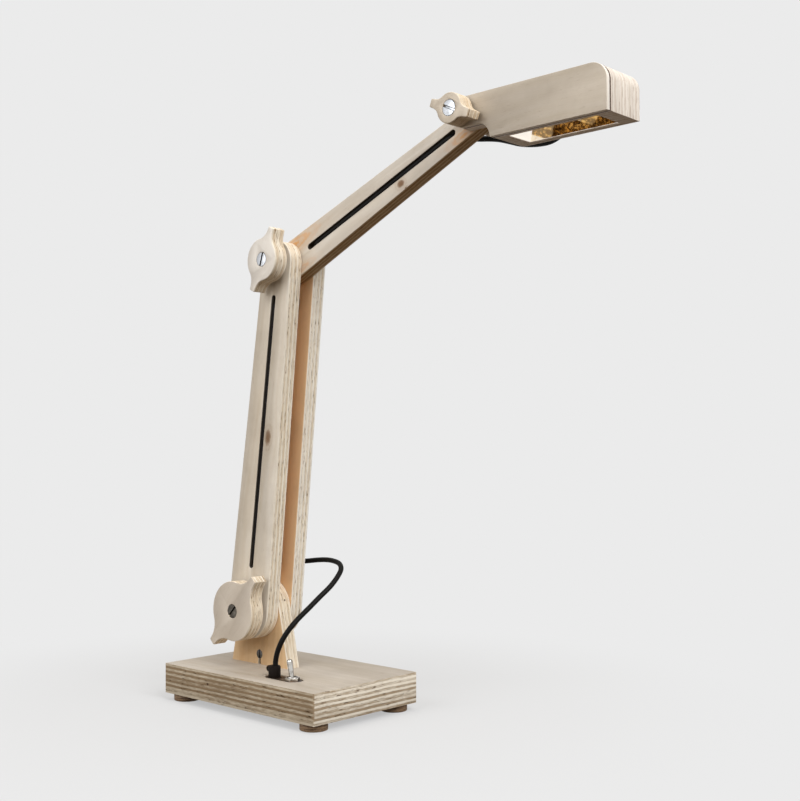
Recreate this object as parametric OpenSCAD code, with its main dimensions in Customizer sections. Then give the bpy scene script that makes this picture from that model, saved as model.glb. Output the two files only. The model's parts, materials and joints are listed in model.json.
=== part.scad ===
// Folding desk lamp in birch plywood, with two jointed arms and a small slab-shaped head.
// X runs from the back of the base to the lit end, Y across the boards, Z up.
// The origin is under the middle of the base, on the surface that the feet stand on.

/* [Boards] */
// Thickness of the upright, the arm boards and the knobs
plate_t = 9.4; // [6:0.1:12]
// Thickness of each friction washer between two boards
slip_t = 0.25; // [0.1:0.05:0.5]
// Width of the cable slots in the arms
slot_w = 3.4; // [3.3:0.1:5]

/* [Base] */
// Length of the base board
base_l = 134; // [124:1:180]
// Width of the base board
base_w = 84; // [80:1:120]
// Thickness of the base board
base_t = 18; // [17:0.5:24]
// Radius of the base board's upright corners
base_corner_r = 1; // [0.5:0.5:8]
// Distance from the ends of the board to the foot centres
foot_inset_x = 10; // [8.5:0.5:12]
// Distance from the sides of the board to the foot centres
foot_inset_y = 9.5; // [8.5:0.5:10]
// Diameter of each foot
foot_d = 16; // [12:0.5:18]
// Height of each foot
foot_h = 4.5; // [3.5:0.5:8]

/* [Hollow under the base] */
// Length of the hollow
hollow_l = 84; // [82:1:86]
// Width of the hollow
hollow_w = 58; // [57:0.5:60]
// Height of the hollow above its cover
hollow_h = 10; // [9.5:0.1:10.5]
// Radius of the hollow's corners
hollow_r = 6; // [3:0.5:7]
// Thickness of the bottom cover
cover_t = 2; // [1.5:0.1:2.5]
// How far the bottom cover laps over the board round the hollow
cover_lap = 4; // [3.8:0.1:4.4]
// Clearance between the steel weight and the hollow's ends and far side
weight_gap = 2; // [1:0.1:3]
// Width of the steel weight
weight_w = 40; // [30:1:41]
// Thickness of the steel weight
weight_t = 7.4; // [4:0.1:7.6]

/* [Upright] */
// Height of the shoulder pivot over the base board
shoulder_h = 34.7; // [31:0.1:50]
// Distance of the shoulder pivot behind the middle of the base
shoulder_back = 21.3; // [18:0.1:24]
// Half the width of the upright where it stands on the base
upright_half_w = 25.8; // [20:0.1:30]
// Height of the barrel nut over the base board
barrel_h = 6.2; // [5:0.1:8]
// Diameter of the barrel nut
barrel_d = 5.4; // [5:0.1:6]
// Width of the slit that shows the bolt
slit_w = 2.4; // [1:0.1:2.8]
// Diameter of the bolt that holds the upright
bolt_d = 3; // [2.5:0.1:3.2]

/* [Lower arm] */
// Distance between the shoulder and elbow pivots
lower_l = 211; // [150:1:260]
// Lean of the lower arm from upright, in degrees
lower_lean = 7.28; // [-20:0.01:20]
// Radius of the boards round the shoulder
shoulder_r = 17.8; // [15:0.1:20]
// Radius of the boards round the elbow
elbow_r = 12.1; // [11:0.1:14]
// Distance from the shoulder pivot to the low end of the slot
lower_slot_start = 25.6; // [23:0.1:30]
// Distance from the high end of the slot to the elbow pivot
lower_slot_stop = 19.9; // [18:0.1:26]

/* [Upper arm] */
// Distance between the elbow and head pivots
upper_l = 156.3; // [110:0.1:200]
// Rise of the upper arm from level, in degrees
upper_rise = 23.45; // [0:0.01:45]
// Radius of the board round the head pivot
tip_r = 7.4; // [7:0.1:9]
// Distance from the elbow pivot to the low end of the slot
upper_slot_start = 18.5; // [18:0.1:26]
// Distance from the high end of the slot to the head pivot
upper_slot_stop = 14.3; // [14:0.1:20]

/* [Head] */
// Length of the head from its pivot to its lit end
head_l = 86.8; // [84:0.1:110]
// Rise of the head from level, in degrees
head_rise = 0.6; // [-10:0.1:10]
// Radius of the tongue round the head pivot, which is half its height
tongue_r = 7.8; // [7.5:0.1:9]
// Depth of the head below its pivot
head_drop = 15.9; // [14:0.1:18]
// Distance from the pivot to the start of the hollow notch
notch_x = 9.4; // [9:0.1:12]
// Radius of the upper corner at the lit end
nose_r = 9; // [4:0.5:12]
// Thickness of the thin outer cover on the knob's side
veneer_t = 2.5; // [1.5:0.1:3]
// Thickness of the black layer behind the cover
shim_t = 1.1; // [0.6:0.1:1.5]
// Gap between the end of the upper arm and the head's core
core_gap = 2.1; // [1.5:0.1:3]

/* [Light] */
// Distance from the head pivot to the light's mouth
mouth_x = 24.6; // [22:0.1:26]
// Length of the mouth
mouth_l = 53.6; // [48:0.1:56]
// Reach of the mouth from the middle plane towards the knob's side
mouth_near = 8.5; // [7:0.1:9.5]
// Reach of the mouth from the middle plane towards the far side
mouth_far = 10.2; // [9:0.1:11]
// Depth of the pocket that holds the light
pocket_h = 15; // [14:0.1:16.5]
// Thickness of the mirror sheet
mirror_t = 0.6; // [0.4:0.1:0.8]
// Inward lean of the end mirrors over their height
mirror_lean = 3; // [1:0.1:4]
// Width of the folded ridge between the two lights
ridge_w = 13; // [8:0.5:16]
// Height of the folded ridge
ridge_h = 6; // [3:0.1:8]
// Gap between the mirror's rim and the head's underside
mirror_inset = 0.4; // [0.2:0.1:1]
// Thickness of the light board
board_t = 1.2; // [0.8:0.1:1.6]
// Width of each light chip
chip_w = 3.2; // [2:0.1:3.5]
// Thickness of each light chip
chip_t = 0.9; // [0.7:0.1:1.2]

/* [Knobs] */
// Radius of the shoulder knob
shoulder_knob_r = 18; // [15:0.1:20]
// Reach of the shoulder knob's wings
shoulder_wing_r = 28.3; // [25:0.1:31]
// Half the width of the shoulder knob's wings at their tips
shoulder_wing_half_w = 2.35; // [1.5:0.05:2.5]
// Turn of the shoulder knob's wings from level, in degrees
shoulder_wing_angle = 46.6; // [0:0.1:180]
// Radius of the elbow knob
elbow_knob_r = 12.4; // [11:0.1:14]
// Reach of the elbow knob's wings
elbow_wing_r = 19.7; // [18:0.1:22]
// Half the width of the elbow knob's wings at their tips
elbow_wing_half_w = 1.95; // [1.5:0.05:2.5]
// Turn of the elbow knob's wings from level, in degrees
elbow_wing_angle = 64; // [0:0.1:180]
// Radius of the head knob
head_knob_r = 7.85; // [7:0.05:9]
// Reach of the head knob's wings
head_wing_r = 13.2; // [12:0.1:15]
// Half the width of the head knob's wings at their tips
head_wing_half_w = 2.1; // [1.5:0.05:2.5]
// Turn of the head knob's wings from level, in degrees
head_wing_angle = 158.5; // [0:0.1:180]
// Thickness of the washers behind the shoulder and elbow knobs
arm_washer_t = 2.7; // [1:0.1:3.2]
// Thickness of the washer behind the head knob
head_washer_t = 1.6; // [0.8:0.1:2]

/* [Screws] */
// Diameter of the pivot screws
screw_d = 5; // [4:0.1:5.2]
// Diameter of the slotted screw heads
screw_head_d = 8.2; // [7.5:0.1:9]
// Thickness of the slotted screw heads
screw_head_h = 3; // [2:0.1:3.5]
// Width of the slot in each head
drive_w = 1.2; // [0.8:0.1:1.5]
// Depth of the slot in each head
drive_h = 1.3; // [0.8:0.1:1.6]
// Width of the pivot nuts across their flats
nut_flats = 8; // [7.5:0.1:8.4]
// Thickness of the pivot nuts
nut_h = 4; // [3:0.1:5]

/* [Switch] */
// Distance of the cable gland ahead of the middle of the base
gland_x = 15.3; // [14:0.1:16]
// Distance of the switch ahead of the middle of the base
switch_x = 30.8; // [29:0.1:32]
// Distance of the gland and the switch from the near side of the base board
switch_inset = 17.4; // [17:0.1:18]
// Length of the recess round them
recess_l = 27.7; // [26.5:0.1:30]
// Width of the recess
recess_w = 11; // [10:0.1:12]
// Depth of the recess
recess_h = 2.2; // [1.5:0.1:3]
// Thickness of the metal plate in the recess
switch_plate_t = 2; // [1:0.1:2.2]
// Diameter of the gland
gland_d = 7.2; // [6.6:0.1:8]
// Height of the gland over its plate
gland_h = 6.7; // [5:0.1:7]
// Diameter of the switch's threaded neck
neck_d = 6; // [5.5:0.1:6.4]
// Height of the neck over the base board
neck_h = 2.2; // [2:0.1:3]
// Width of the switch's nut across its flats
neck_nut_flats = 7.8; // [7:0.1:8.5]
// Thickness of the switch's nut
neck_nut_h = 1.8; // [1:0.1:1.9]
// Length of the switch lever from its pivot
lever_l = 13.6; // [10:0.1:18]
// Radius of the lever where it leaves the neck
lever_low_r = 1.1; // [0.8:0.05:1.2]
// Radius of the lever at its end
lever_top_r = 1.7; // [1.2:0.05:2]
// Lean of the lever at rest, in degrees
lever_lean = 11; // [5:0.5:12]

/* [Hidden] */
// Fineness of round shapes
$fn = 72;
// Overrun of every cut past the face that it opens
cut = 1;
// Radial clearance of a screw or pin in its hole
pin_gap = 0.06;
// Clearance of a part that drops into a recess
seat_gap = 0.15;
// Clearance between the sides of a pocket and the piece in it
fit_gap = 0.1;

// Heights of the base board's faces
base_z = foot_h;
base_top = foot_h + base_t;
// Ceiling of the hollow under the base
hollow_top = base_z + cover_t + hollow_h;

// Foot screws and cover screws
foot_screw_d = 3;
foot_screw_l = 12;
foot_head_d = 6;
foot_head_h = 1.8;
foot_sink_h = 2.4;
cover_screw_d = 2;
cover_screw_l = 8;
cover_head_d = 3.6;
cover_head_h = 1;
bolt_head_d = 5.5;
bolt_head_h = 2;
bolt_room = 1.4;
barrel_drive_w = 0.9;
barrel_drive_h = 1;
weight_end_r = 3;

// Faces of the boards across the lamp
gap_half = plate_t / 2 + slip_t;
side_y = gap_half + plate_t;
function knob_face(gap) = side_y + gap + plate_t;

// Pivots
shoulder_x = -shoulder_back;
shoulder_z = base_top + shoulder_h;
lower_rise = 90 - lower_lean;
elbow_x = shoulder_x + lower_l * cos(lower_rise);
elbow_z = shoulder_z + lower_l * sin(lower_rise);
head_x = elbow_x + upper_l * cos(upper_rise);
head_z = elbow_z + upper_l * sin(upper_rise);

// Holes and washers on the pivots
screw_r = screw_d / 2;
bore_r = screw_r + pin_gap;
washer_bore_r = screw_r + fit_gap;
washer_rim = 3.5;
slip_rim = 5;
tip_slip_rim = 3.4;
nut_gap = 0.1;
screw_end_gap = 0.15;

// How far a tapered board's straight sides lie inside the tangents of its round ends
side_in = 0.01;

// Shape of the knobs' wings: the slope of their sides and the radius of their hollow fillets
wing_slope = 7;
wing_fillet_share = 0.72;

// Angles of the drive slots in the three pivot screws
shoulder_drive_angle = 46;
elbow_drive_angle = 72.5;
head_drive_angle = -26;

// Head layers from the knob's side inward
near_cheek_t = plate_t - veneer_t - shim_t;
core_x = tip_r + core_gap;
notch_r = head_drop - tongue_r;
pocket_top = pocket_h - head_drop;
mouth_y = (mouth_far - mouth_near) / 2;
mouth_w = mouth_near + mouth_far;
board_z = pocket_top - board_t;
mirror_top = board_z - mirror_t;
mirror_low = mirror_inset - head_drop;
ridge_x = mouth_x + mouth_l / 2;
chip_shift = mouth_l / 4;
chip_gap = 0.5;
lead_gap = 0.25;
lead_x = 41.2;
lead_z = -1.3;
// Share of a mirror's thickness by which a folded corner runs past its neighbour
fold_share = 0.5;

// Switch, its body under the base and the power inlet
switch_y = base_w / 2 - switch_inset;
recess_shift = 0.6;
recess_x = (gland_x + switch_x) / 2 + recess_shift;
switch_body_l = 12.7;
switch_body_w = 7.6;
switch_body_h = 8.6;
neck_bore_r = 2.1;
ball_gap = 0.08;
lever_pin_r = 0.5;
pin_set = 0.4;
lever_pivot_h = -1.5;
gland_shank_d = 5.4;
gland_neck_d = 6.4;
gland_step_h = 0.5;
gland_ear_r = 1.8;
gland_ear_w = 4;
gland_ear_reach = 1.3;
inlet_d = 8;
inlet_l = 14;
inlet_flange_d = 10;
inlet_flange_h = 1.2;
inlet_socket_d = 5.6;
inlet_socket_h = 10;
inlet_pin_d = 2.1;
inlet_lead_d = 5;

// Cable: its radius, its sides and the routes of its middle line
cable_r = 1.55;
cable_sides = 8;
// Bend out of the gland, from the middle of the gland at the top of the base board
gland_bend = [[0.9, 0, 6.5], [0.9, 0, 9], [2.6, 0, 14.7], [5.4, 0.8, 21.1], [7.8, 4.1, 27.5]];
// Loop from the gland up to the lower arm's far side, from the origin
base_route = concat(
    [for (p = gland_bend) [gland_x + p[0], p[1] - switch_y, base_top + p[2]]],
    [
        [24.9, -15, 55.9], [26.9, -8, 61.9], [28.6, -1, 67.8], [29.9, 6, 73.2], [29.6, 12, 78], [27.6, 17.5, 82.4],
        [23, 20.8, 85.3], [16.4, 22.4, 86.5], [9, 23.2, 86.7], [0.6, 23.4, 86], [-6.9, 23, 85], [-13, 21.8, 84.4],
        [-17, 18.9, 84.3],
        [-17.9, 15.8, 84.3], [-17.9, 14.35, 84.3]
    ]
);
// Bend into a slot's end, as the distance from the middle of the slot's round end and the place across
lower_bend = [[0, 14.35], [0, 6], [0, -4.6], [0.9, -9], [3.8, -11.6], [7.9, -12.3]];
upper_bend = [[0, 4.7], [0, 3], [0.9, -0.1], [4, -2.2], [8, -2.6]];
// Run along a slot between two such bends, in equal straight stretches
function run(bend, start, stop, stretches) =
    let (n = len(bend), a = start + bend[n - 1][0], b = stop - bend[n - 1][0])
    concat(
        [for (p = bend) [start + p[0], p[1], 0]],
        [for (i = [1:stretches - 1]) [a + (b - a) * i / stretches, bend[n - 1][1], 0]],
        [for (i = [n - 1:-1:0]) [stop - bend[i][0], bend[i][1], 0]]
    );
lower_route = run(lower_bend, lower_slot_start + slot_w / 2, lower_l - lower_slot_stop - slot_w / 2, 6);
upper_route = run(upper_bend, upper_slot_start + slot_w / 2, upper_l - upper_slot_stop - slot_w / 2, 5);
// Loop past the elbow on the far side, from the origin
elbow_route = [
    [2.7, 14.35, 245], [2.7, 16.5, 245], [2.9, 19, 246.4], [3.3, 20.4, 249.5], [4.2, 20.6, 255], [6.6, 19.8, 261.5],
    [10.8, 18.6, 267.6], [15.7, 17, 271.7], [20.5, 13.8, 274.2], [23.6, 9.5, 274.6], [24, 7, 274.6], [24, 4.7, 274.6]
];
// Loop under the head's far edge, from the origin
head_route = [
    [134.1, 4.7, 322.3], [134.1, 7.5, 322.3], [134.6, 11.5, 322.4], [136.9, 15, 322.4], [141.4, 17.2, 322.1],
    [147.5, 18, 320.9], [154.5, 18, 318.6], [161.5, 18, 316.2], [168.5, 18, 314.7], [175, 18, 314],
    [181, 18.2, 314.2], [186, 19, 316.4], [189, 20.4, 320.2], [190.3, 20.8, 324.4], [190.2, 18.9, 327.2],
    [190, 15.5, 327.8], [190, 11, 327.8]
];

// Places a child at the shoulder, with X along the lower arm
module on_lower() {
    translate([shoulder_x, 0, shoulder_z])
        rotate([0, -lower_rise, 0])
            children();
}

// Places a child at the elbow, with X along the upper arm
module on_upper() {
    translate([elbow_x, 0, elbow_z])
        rotate([0, -upper_rise, 0])
            children();
}

// Places a child at the head pivot, with X along the head
module on_head() {
    translate([head_x, 0, head_z])
        rotate([0, -head_rise, 0])
            children();
}

// Stands a flat outline up in x and z and gives it a thickness along y
module board(y, t) {
    translate([0, y + t, 0])
        rotate([90, 0, 0])
            linear_extrude(height = t)
                children();
}

// Round bar along y between two places
module bar(y0, y1, r) {
    translate([0, y1, 0])
        rotate([90, 0, 0])
            cylinder(h = y1 - y0, r = r);
}

// Ring along y, for washers
module ring(y0, y1, r, bore) {
    difference() {
        bar(y0, y1, r);
        bar(y0 - cut, y1 + cut, bore);
    }
}

// Outline of a rectangle with round corners
module round_rect(l, w, r) {
    square([l - 2 * r, w], center = true);
    square([l, w - 2 * r], center = true);
    for (sx = [-1, 1], sy = [-1, 1])
        translate([sx * (l / 2 - r), sy * (w / 2 - r)])
            circle(r = r);
}

// Outline of a slot with round ends, lying along x between two places
module slot(x0, x1, w) {
    translate([x0 + w / 2, -w / 2])
        square([x1 - x0 - w, w]);
    for (x = [x0 + w / 2, x1 - w / 2])
        translate([x, 0])
            circle(r = w / 2);
}

// Board that tapers between two round ends, with a bore at each and a cable slot between them
module arm_board(y, r0, r1, l, slot_start, slot_stop) {
    lean = acos((r0 - r1) / l);
    side0 = r0 - side_in;
    side1 = r1 - side_in;
    difference() {
        union() {
            bar(y, y + plate_t, r0);
            translate([l, 0, 0])
                bar(y, y + plate_t, r1);
            board(y, plate_t)
                polygon([
                    [side0 * cos(lean), side0 * sin(lean)],
                    [l + side1 * cos(lean), side1 * sin(lean)],
                    [l + side1 * cos(lean), -side1 * sin(lean)],
                    [side0 * cos(lean), -side0 * sin(lean)]
                ]);
        }
        board(y - cut, plate_t + 2 * cut)
            slot(slot_start, l - slot_stop, slot_w);
        for (x = [0, l])
            translate([x, 0, 0])
                bar(y - cut, y + plate_t + cut, bore_r);
    }
}

// Hexagon along y, for nuts and their pockets
module hex_bar(y0, y1, flats) {
    translate([0, y1, 0])
        rotate([90, 0, 0])
            cylinder(h = y1 - y0, r = flats / 2 / cos(30), $fn = 6);
}

// Outline of a wing knob: a disc, two tapered wings and four hollow fillets that meet both without a corner
module knob_outline(disc_r, wing_r, wing_half_w) {
    fillet_r = disc_r * wing_fillet_share;
    out = [sin(wing_slope), cos(wing_slope)];
    along = [cos(wing_slope), -sin(wing_slope)];
    side = out * [wing_r, wing_half_w];
    reach = sqrt(pow(disc_r + fillet_r, 2) - pow(side + fillet_r, 2));
    foot = out * side + along * reach;
    middle = out * (side + fillet_r) + along * reach;
    circle(r = disc_r);
    for (turn = [0, 180])
        rotate(turn) {
            polygon([
                [0, 0],
                [foot[0], -foot[1]],
                [wing_r, -wing_half_w],
                [wing_r, wing_half_w],
                foot
            ]);
            for (flip = [0, 1])
                mirror([0, flip])
                    difference() {
                        polygon([[0, 0], foot, middle]);
                        translate(middle)
                            circle(r = fillet_r);
                    }
        }
}

// Wing knob at a pivot, ahead of a washer as thick as the gap, and counterbored for its screw
module knob(disc_r, wing_r, wing_half_w, turn, gap) {
    face_y = -knob_face(gap);
    color("burlywood")
        rotate([0, -turn, 0])
            difference() {
                board(face_y, plate_t)
                    knob_outline(disc_r, wing_r, wing_half_w);
                bar(face_y - cut, face_y + plate_t + cut, bore_r);
                bar(face_y - cut, face_y + screw_head_h, screw_head_d / 2 + fit_gap);
            }
}

// Pivot screw with a slotted head, from the knob's face to the far board's nut
module pivot_screw(turn, gap) {
    face_y = -knob_face(gap);
    color("silver")
        rotate([0, -turn, 0])
            difference() {
                union() {
                    bar(face_y, face_y + screw_head_h, screw_head_d / 2);
                    bar(face_y + screw_head_h, side_y - screw_end_gap, screw_r);
                }
                translate([-screw_head_d, face_y - cut, -drive_w / 2])
                    cube([2 * screw_head_d, drive_h + cut, drive_w]);
            }
}

// Nut let into the outer face of the far board
module pivot_nut() {
    color("silver")
        difference() {
            hex_bar(side_y - screw_end_gap - nut_h, side_y - screw_end_gap, nut_flats);
            bar(side_y - 2 * nut_h, side_y + cut, bore_r);
        }
}

// Pocket for that nut
module nut_pocket() {
    hex_bar(side_y - screw_end_gap - nut_h, side_y + cut, nut_flats + 2 * nut_gap);
}

// Unit vector along another
function unit(v) = v / norm(v);

// Heading of a route at one of its points
function heading(p, i) =
    i == 0 ? unit(p[1] - p[0]) :
    i == len(p) - 1 ? unit(p[i] - p[i - 1]) :
    unit(unit(p[i + 1] - p[i]) + unit(p[i] - p[i - 1]));

// Sideways vectors carried along a route without twist
function carried(p, i, s) =
    i == len(p) ? [] :
    let (h = heading(p, i), t = unit(s - (s * h) * h))
    concat([t], carried(p, i + 1, t));

// Cable swept along a route as one closed skin
module cable(route) {
    sides = carried(route, 0, [0.3, 0.1, 1]);
    n = cable_sides;
    last = (len(route) - 1) * n;
    points = [
        for (i = [0 : len(route) - 1])
            let (u = sides[i], v = cross(heading(route, i), u))
            for (k = [0 : n - 1])
                route[i] + cable_r * (cos(360 * k / n) * u + sin(360 * k / n) * v)
    ];
    walls = [
        for (i = [0 : n : last - n], k = [0 : n - 1], half = [0, 1])
            half == 0
                ? [i + k, i + n + k, i + n + (k + 1) % n]
                : [i + k, i + n + (k + 1) % n, i + (k + 1) % n]
    ];
    ends = [
        [for (k = [0 : n - 1]) k],
        [for (k = [n - 1 : -1 : 0]) last + k]
    ];
    color("black")
        polyhedron(points = points, faces = concat(walls, ends));
}

// Places of the four feet
module at_feet() {
    for (sx = [-1, 1], sy = [-1, 1])
        translate([sx * (base_l / 2 - foot_inset_x), sy * (base_w / 2 - foot_inset_y), 0])
            children();
}

// Places of the four cover screws
module at_cover_screws() {
    for (sx = [-1, 1], sy = [-1, 1])
        translate([sx * hollow_l / 4, sy * (hollow_w + cover_lap) / 2, base_z])
            children();
}

// Base board, hollowed from below and recessed above for the switch
module base_plate() {
    color("burlywood")
        difference() {
            translate([0, 0, base_z])
                linear_extrude(height = base_t)
                    round_rect(base_l, base_w, base_corner_r);
            translate([0, 0, base_z - cut])
                linear_extrude(height = cut + cover_t + hollow_h)
                    round_rect(hollow_l, hollow_w, hollow_r);
            translate([0, 0, base_z - cut])
                linear_extrude(height = cut + cover_t)
                    round_rect(hollow_l + 2 * cover_lap, hollow_w + 2 * cover_lap, hollow_r + cover_lap);
            translate([switch_x, -switch_y, hollow_top - hollow_h / 2])
                cube([switch_body_l + 2 * fit_gap, switch_body_w + 2 * fit_gap, hollow_h], center = true);
            translate([recess_x, -switch_y, base_top - recess_h])
                linear_extrude(height = recess_h + cut)
                    slot(-recess_l / 2, recess_l / 2, recess_w);
            translate([gland_x, -switch_y, hollow_top - cut])
                cylinder(h = base_t, r = gland_shank_d / 2 + fit_gap);
            translate([switch_x, -switch_y, hollow_top - cut])
                cylinder(h = base_t, r = neck_d / 2 + fit_gap);
            translate([shoulder_x, 0, hollow_top - cut])
                cylinder(h = base_t, r = bolt_d / 2 + pin_gap);
            at_feet()
                translate([0, 0, base_z - cut])
                    cylinder(h = foot_screw_l - foot_sink_h + cut, r = foot_screw_d / 2 + pin_gap);
            at_cover_screws()
                cylinder(h = cover_screw_l + cut, r = cover_screw_d / 2 + pin_gap);
            translate([-base_l / 2, 0, base_z + base_t / 2])
                rotate([0, 90, 0]) {
                    translate([0, 0, -cut])
                        cylinder(h = cut + inlet_flange_h, r = inlet_flange_d / 2 + fit_gap);
                    cylinder(h = inlet_l + fit_gap, r = inlet_d / 2 + fit_gap);
                    cylinder(h = base_l / 2, r = inlet_lead_d / 2);
                }
        }
}

// Four round feet, counterbored from below
module feet() {
    color("peru")
        at_feet()
            difference() {
                cylinder(h = foot_h, r = foot_d / 2);
                translate([0, 0, -cut])
                    cylinder(h = foot_h + 2 * cut, r = foot_screw_d / 2 + pin_gap);
                translate([0, 0, -cut])
                    cylinder(h = foot_sink_h + cut, r = foot_head_d / 2 + fit_gap);
            }
}

// Screws that hold the feet
module foot_screws() {
    color("silver")
        at_feet()
            translate([0, 0, foot_sink_h]) {
                translate([0, 0, -foot_head_h])
                    cylinder(h = foot_head_h, r = foot_head_d / 2);
                cylinder(h = foot_screw_l - foot_h, r = foot_screw_d / 2);
            }
}

// Steel weight that keeps the lamp standing with its arm reached out
module steel_weight() {
    color("dimgray")
        translate([0, 0, base_z + cover_t])
            difference() {
                translate([0, hollow_w / 2 - weight_gap - weight_w / 2, 0])
                    linear_extrude(height = weight_t)
                        round_rect(hollow_l - 2 * weight_gap, weight_w, weight_end_r);
                translate([shoulder_x, 0, -cut])
                    cylinder(h = weight_t + 2 * cut, r = bolt_head_d / 2 + bolt_room);
            }
}

// Cover let in flush under the hollow
module bottom_cover() {
    color("black")
        difference() {
            translate([0, 0, base_z])
                linear_extrude(height = cover_t)
                    round_rect(
                        hollow_l + 2 * (cover_lap - seat_gap),
                        hollow_w + 2 * (cover_lap - seat_gap),
                        hollow_r + cover_lap - seat_gap
                    );
            at_cover_screws() {
                translate([0, 0, -cut])
                    cylinder(h = cover_t + 2 * cut, r = cover_screw_d / 2 + pin_gap);
                translate([0, 0, -cut])
                    cylinder(h = cut + cover_head_h, r = cover_head_d / 2 + fit_gap);
            }
        }
}

// Screws of the bottom cover
module cover_screws() {
    color("silver")
        at_cover_screws() {
            cylinder(h = cover_head_h, r = cover_head_d / 2);
            cylinder(h = cover_screw_l, r = cover_screw_d / 2);
        }
}

// Outline of the upright: two straight sides that meet the round top without a corner
module upright_outline() {
    far = norm([upright_half_w, shoulder_h]);
    turn = acos(shoulder_r / far) - atan2(shoulder_h, upright_half_w);
    circle(r = shoulder_r);
    polygon([
        [-upright_half_w, -shoulder_h],
        [upright_half_w, -shoulder_h],
        [shoulder_r * cos(turn), shoulder_r * sin(turn)],
        [-shoulder_r * cos(turn), shoulder_r * sin(turn)]
    ]);
}

// Upright board between the lower arm's two boards
module upright() {
    barrel_z = barrel_h - shoulder_h;
    color("burlywood")
        translate([shoulder_x, 0, shoulder_z])
            difference() {
                board(-plate_t / 2, plate_t)
                    difference() {
                        upright_outline();
                        circle(r = bore_r);
                        translate([0, barrel_z])
                            circle(r = barrel_d / 2 + pin_gap);
                        translate([-slit_w / 2, -shoulder_h - cut])
                            square([slit_w, barrel_h + cut]);
                    }
                translate([0, 0, -shoulder_h - cut])
                    cylinder(h = barrel_h + cut, r = bolt_d / 2 + pin_gap);
            }
}

// Barrel nut across the foot of the upright, with a screwdriver slot
module barrel_nut() {
    color("silver")
        translate([shoulder_x, 0, base_top + barrel_h])
            difference() {
                bar(-plate_t / 2, plate_t / 2, barrel_d / 2);
                translate([0, 0, -barrel_d])
                    cylinder(h = 2 * barrel_d, r = bolt_d / 2 + pin_gap);
                translate([-barrel_drive_w / 2, -plate_t / 2 - cut, -barrel_d])
                    cube([barrel_drive_w, barrel_drive_h + cut, 2 * barrel_d]);
            }
}

// Bolt from under the base board up into the barrel nut
module upright_bolt() {
    color("silver")
        translate([shoulder_x, 0, hollow_top]) {
            translate([0, 0, -bolt_head_h])
                cylinder(h = bolt_head_h, r = bolt_head_d / 2);
            cylinder(h = base_top + barrel_h + barrel_d / 4 - hollow_top, r = bolt_d / 2);
        }
}

// Metal plate round the gland and the switch
module switch_plate() {
    color("rosybrown")
        translate([0, -switch_y, base_top - recess_h])
            linear_extrude(height = switch_plate_t)
                difference() {
                    translate([recess_x, 0])
                        slot(-recess_l / 2 + 3 * seat_gap, recess_l / 2 - 3 * seat_gap, recess_w - 6 * seat_gap);
                    translate([gland_x, 0])
                        circle(r = gland_shank_d / 2 + fit_gap);
                    translate([switch_x, 0])
                        circle(r = neck_d / 2 + fit_gap);
                }
}

// Body of the switch under the base board
module switch_body() {
    color("black")
        translate([switch_x - switch_body_l / 2, -switch_y - switch_body_w / 2, hollow_top - switch_body_h])
            cube([switch_body_l, switch_body_w, switch_body_h]);
}

// Threaded neck of the switch, open above for the lever, with the cross pin that the lever swings on
module switch_neck() {
    neck_z = base_top + lever_pivot_h;
    color("silver")
        translate([switch_x, -switch_y, 0])
            union() {
                difference() {
                    translate([0, 0, hollow_top])
                        cylinder(h = base_top + neck_h - hollow_top, r = neck_d / 2);
                    translate([0, 0, neck_z - neck_bore_r - ball_gap])
                        cylinder(h = base_t, r = neck_bore_r);
                }
                translate([0, 0, neck_z])
                    bar(-neck_bore_r - pin_set, neck_bore_r + pin_set, lever_pin_r);
            }
}

// Nut on the switch's neck
module switch_nut() {
    color("silver")
        translate([switch_x, -switch_y, base_top - recess_h + switch_plate_t])
            difference() {
                cylinder(h = neck_nut_h, r = neck_nut_flats / 2 / cos(30), $fn = 6);
                translate([0, 0, -cut])
                    cylinder(h = neck_nut_h + 2 * cut, r = neck_d / 2 + pin_gap);
            }
}

// Lever of the switch, which swings on a pin through the ball at its foot
module switch_lever() {
    ball_r = neck_bore_r - ball_gap;
    color("silver")
        translate([switch_x, -switch_y, base_top + lever_pivot_h])
            rotate([0, -lever_lean, 0])
                difference() {
                    rotate_extrude()
                        difference() {
                            union() {
                                circle(r = ball_r);
                                polygon([
                                    [0, 0],
                                    [lever_low_r, 0],
                                    [lever_top_r, lever_l - lever_top_r],
                                    [0, lever_l - lever_top_r]
                                ]);
                                translate([0, lever_l - lever_top_r])
                                    circle(r = lever_top_r);
                            }
                            translate([-lever_l, -lever_l])
                                square([lever_l, 3 * lever_l]);
                        }
                    bar(-neck_bore_r, neck_bore_r, lever_pin_r + pin_gap);
                }
}

// Cable gland, with a stepped rim and a round lug on its side
module cable_gland() {
    gland_z = base_top - recess_h + switch_plate_t;
    color("black")
        translate([gland_x, -switch_y, 0]) {
            translate([0, 0, hollow_top - fit_gap])
                cylinder(h = gland_z - hollow_top + fit_gap, r = gland_shank_d / 2);
            translate([0, 0, gland_z])
                cylinder(h = gland_h - gland_step_h, r = gland_d / 2);
            translate([0, 0, gland_z + gland_h - gland_step_h])
                cylinder(h = gland_step_h, r = gland_neck_d / 2);
            translate([gland_ear_r - gland_d / 2 - gland_ear_reach, 0, gland_z + gland_h - gland_ear_r])
                bar(-gland_ear_w / 2, gland_ear_w / 2, gland_ear_r);
        }
}

// Power inlet let into the back edge of the base board
module power_inlet() {
    color("black")
        translate([-base_l / 2, 0, base_z + base_t / 2])
            rotate([0, 90, 0]) {
                difference() {
                    union() {
                        cylinder(h = inlet_flange_h, r = inlet_flange_d / 2);
                        cylinder(h = inlet_l, r = inlet_d / 2);
                    }
                    translate([0, 0, -cut])
                        cylinder(h = inlet_socket_h + cut, r = inlet_socket_d / 2);
                }
                cylinder(h = inlet_socket_h, r = inlet_pin_d / 2);
            }
}

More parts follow.
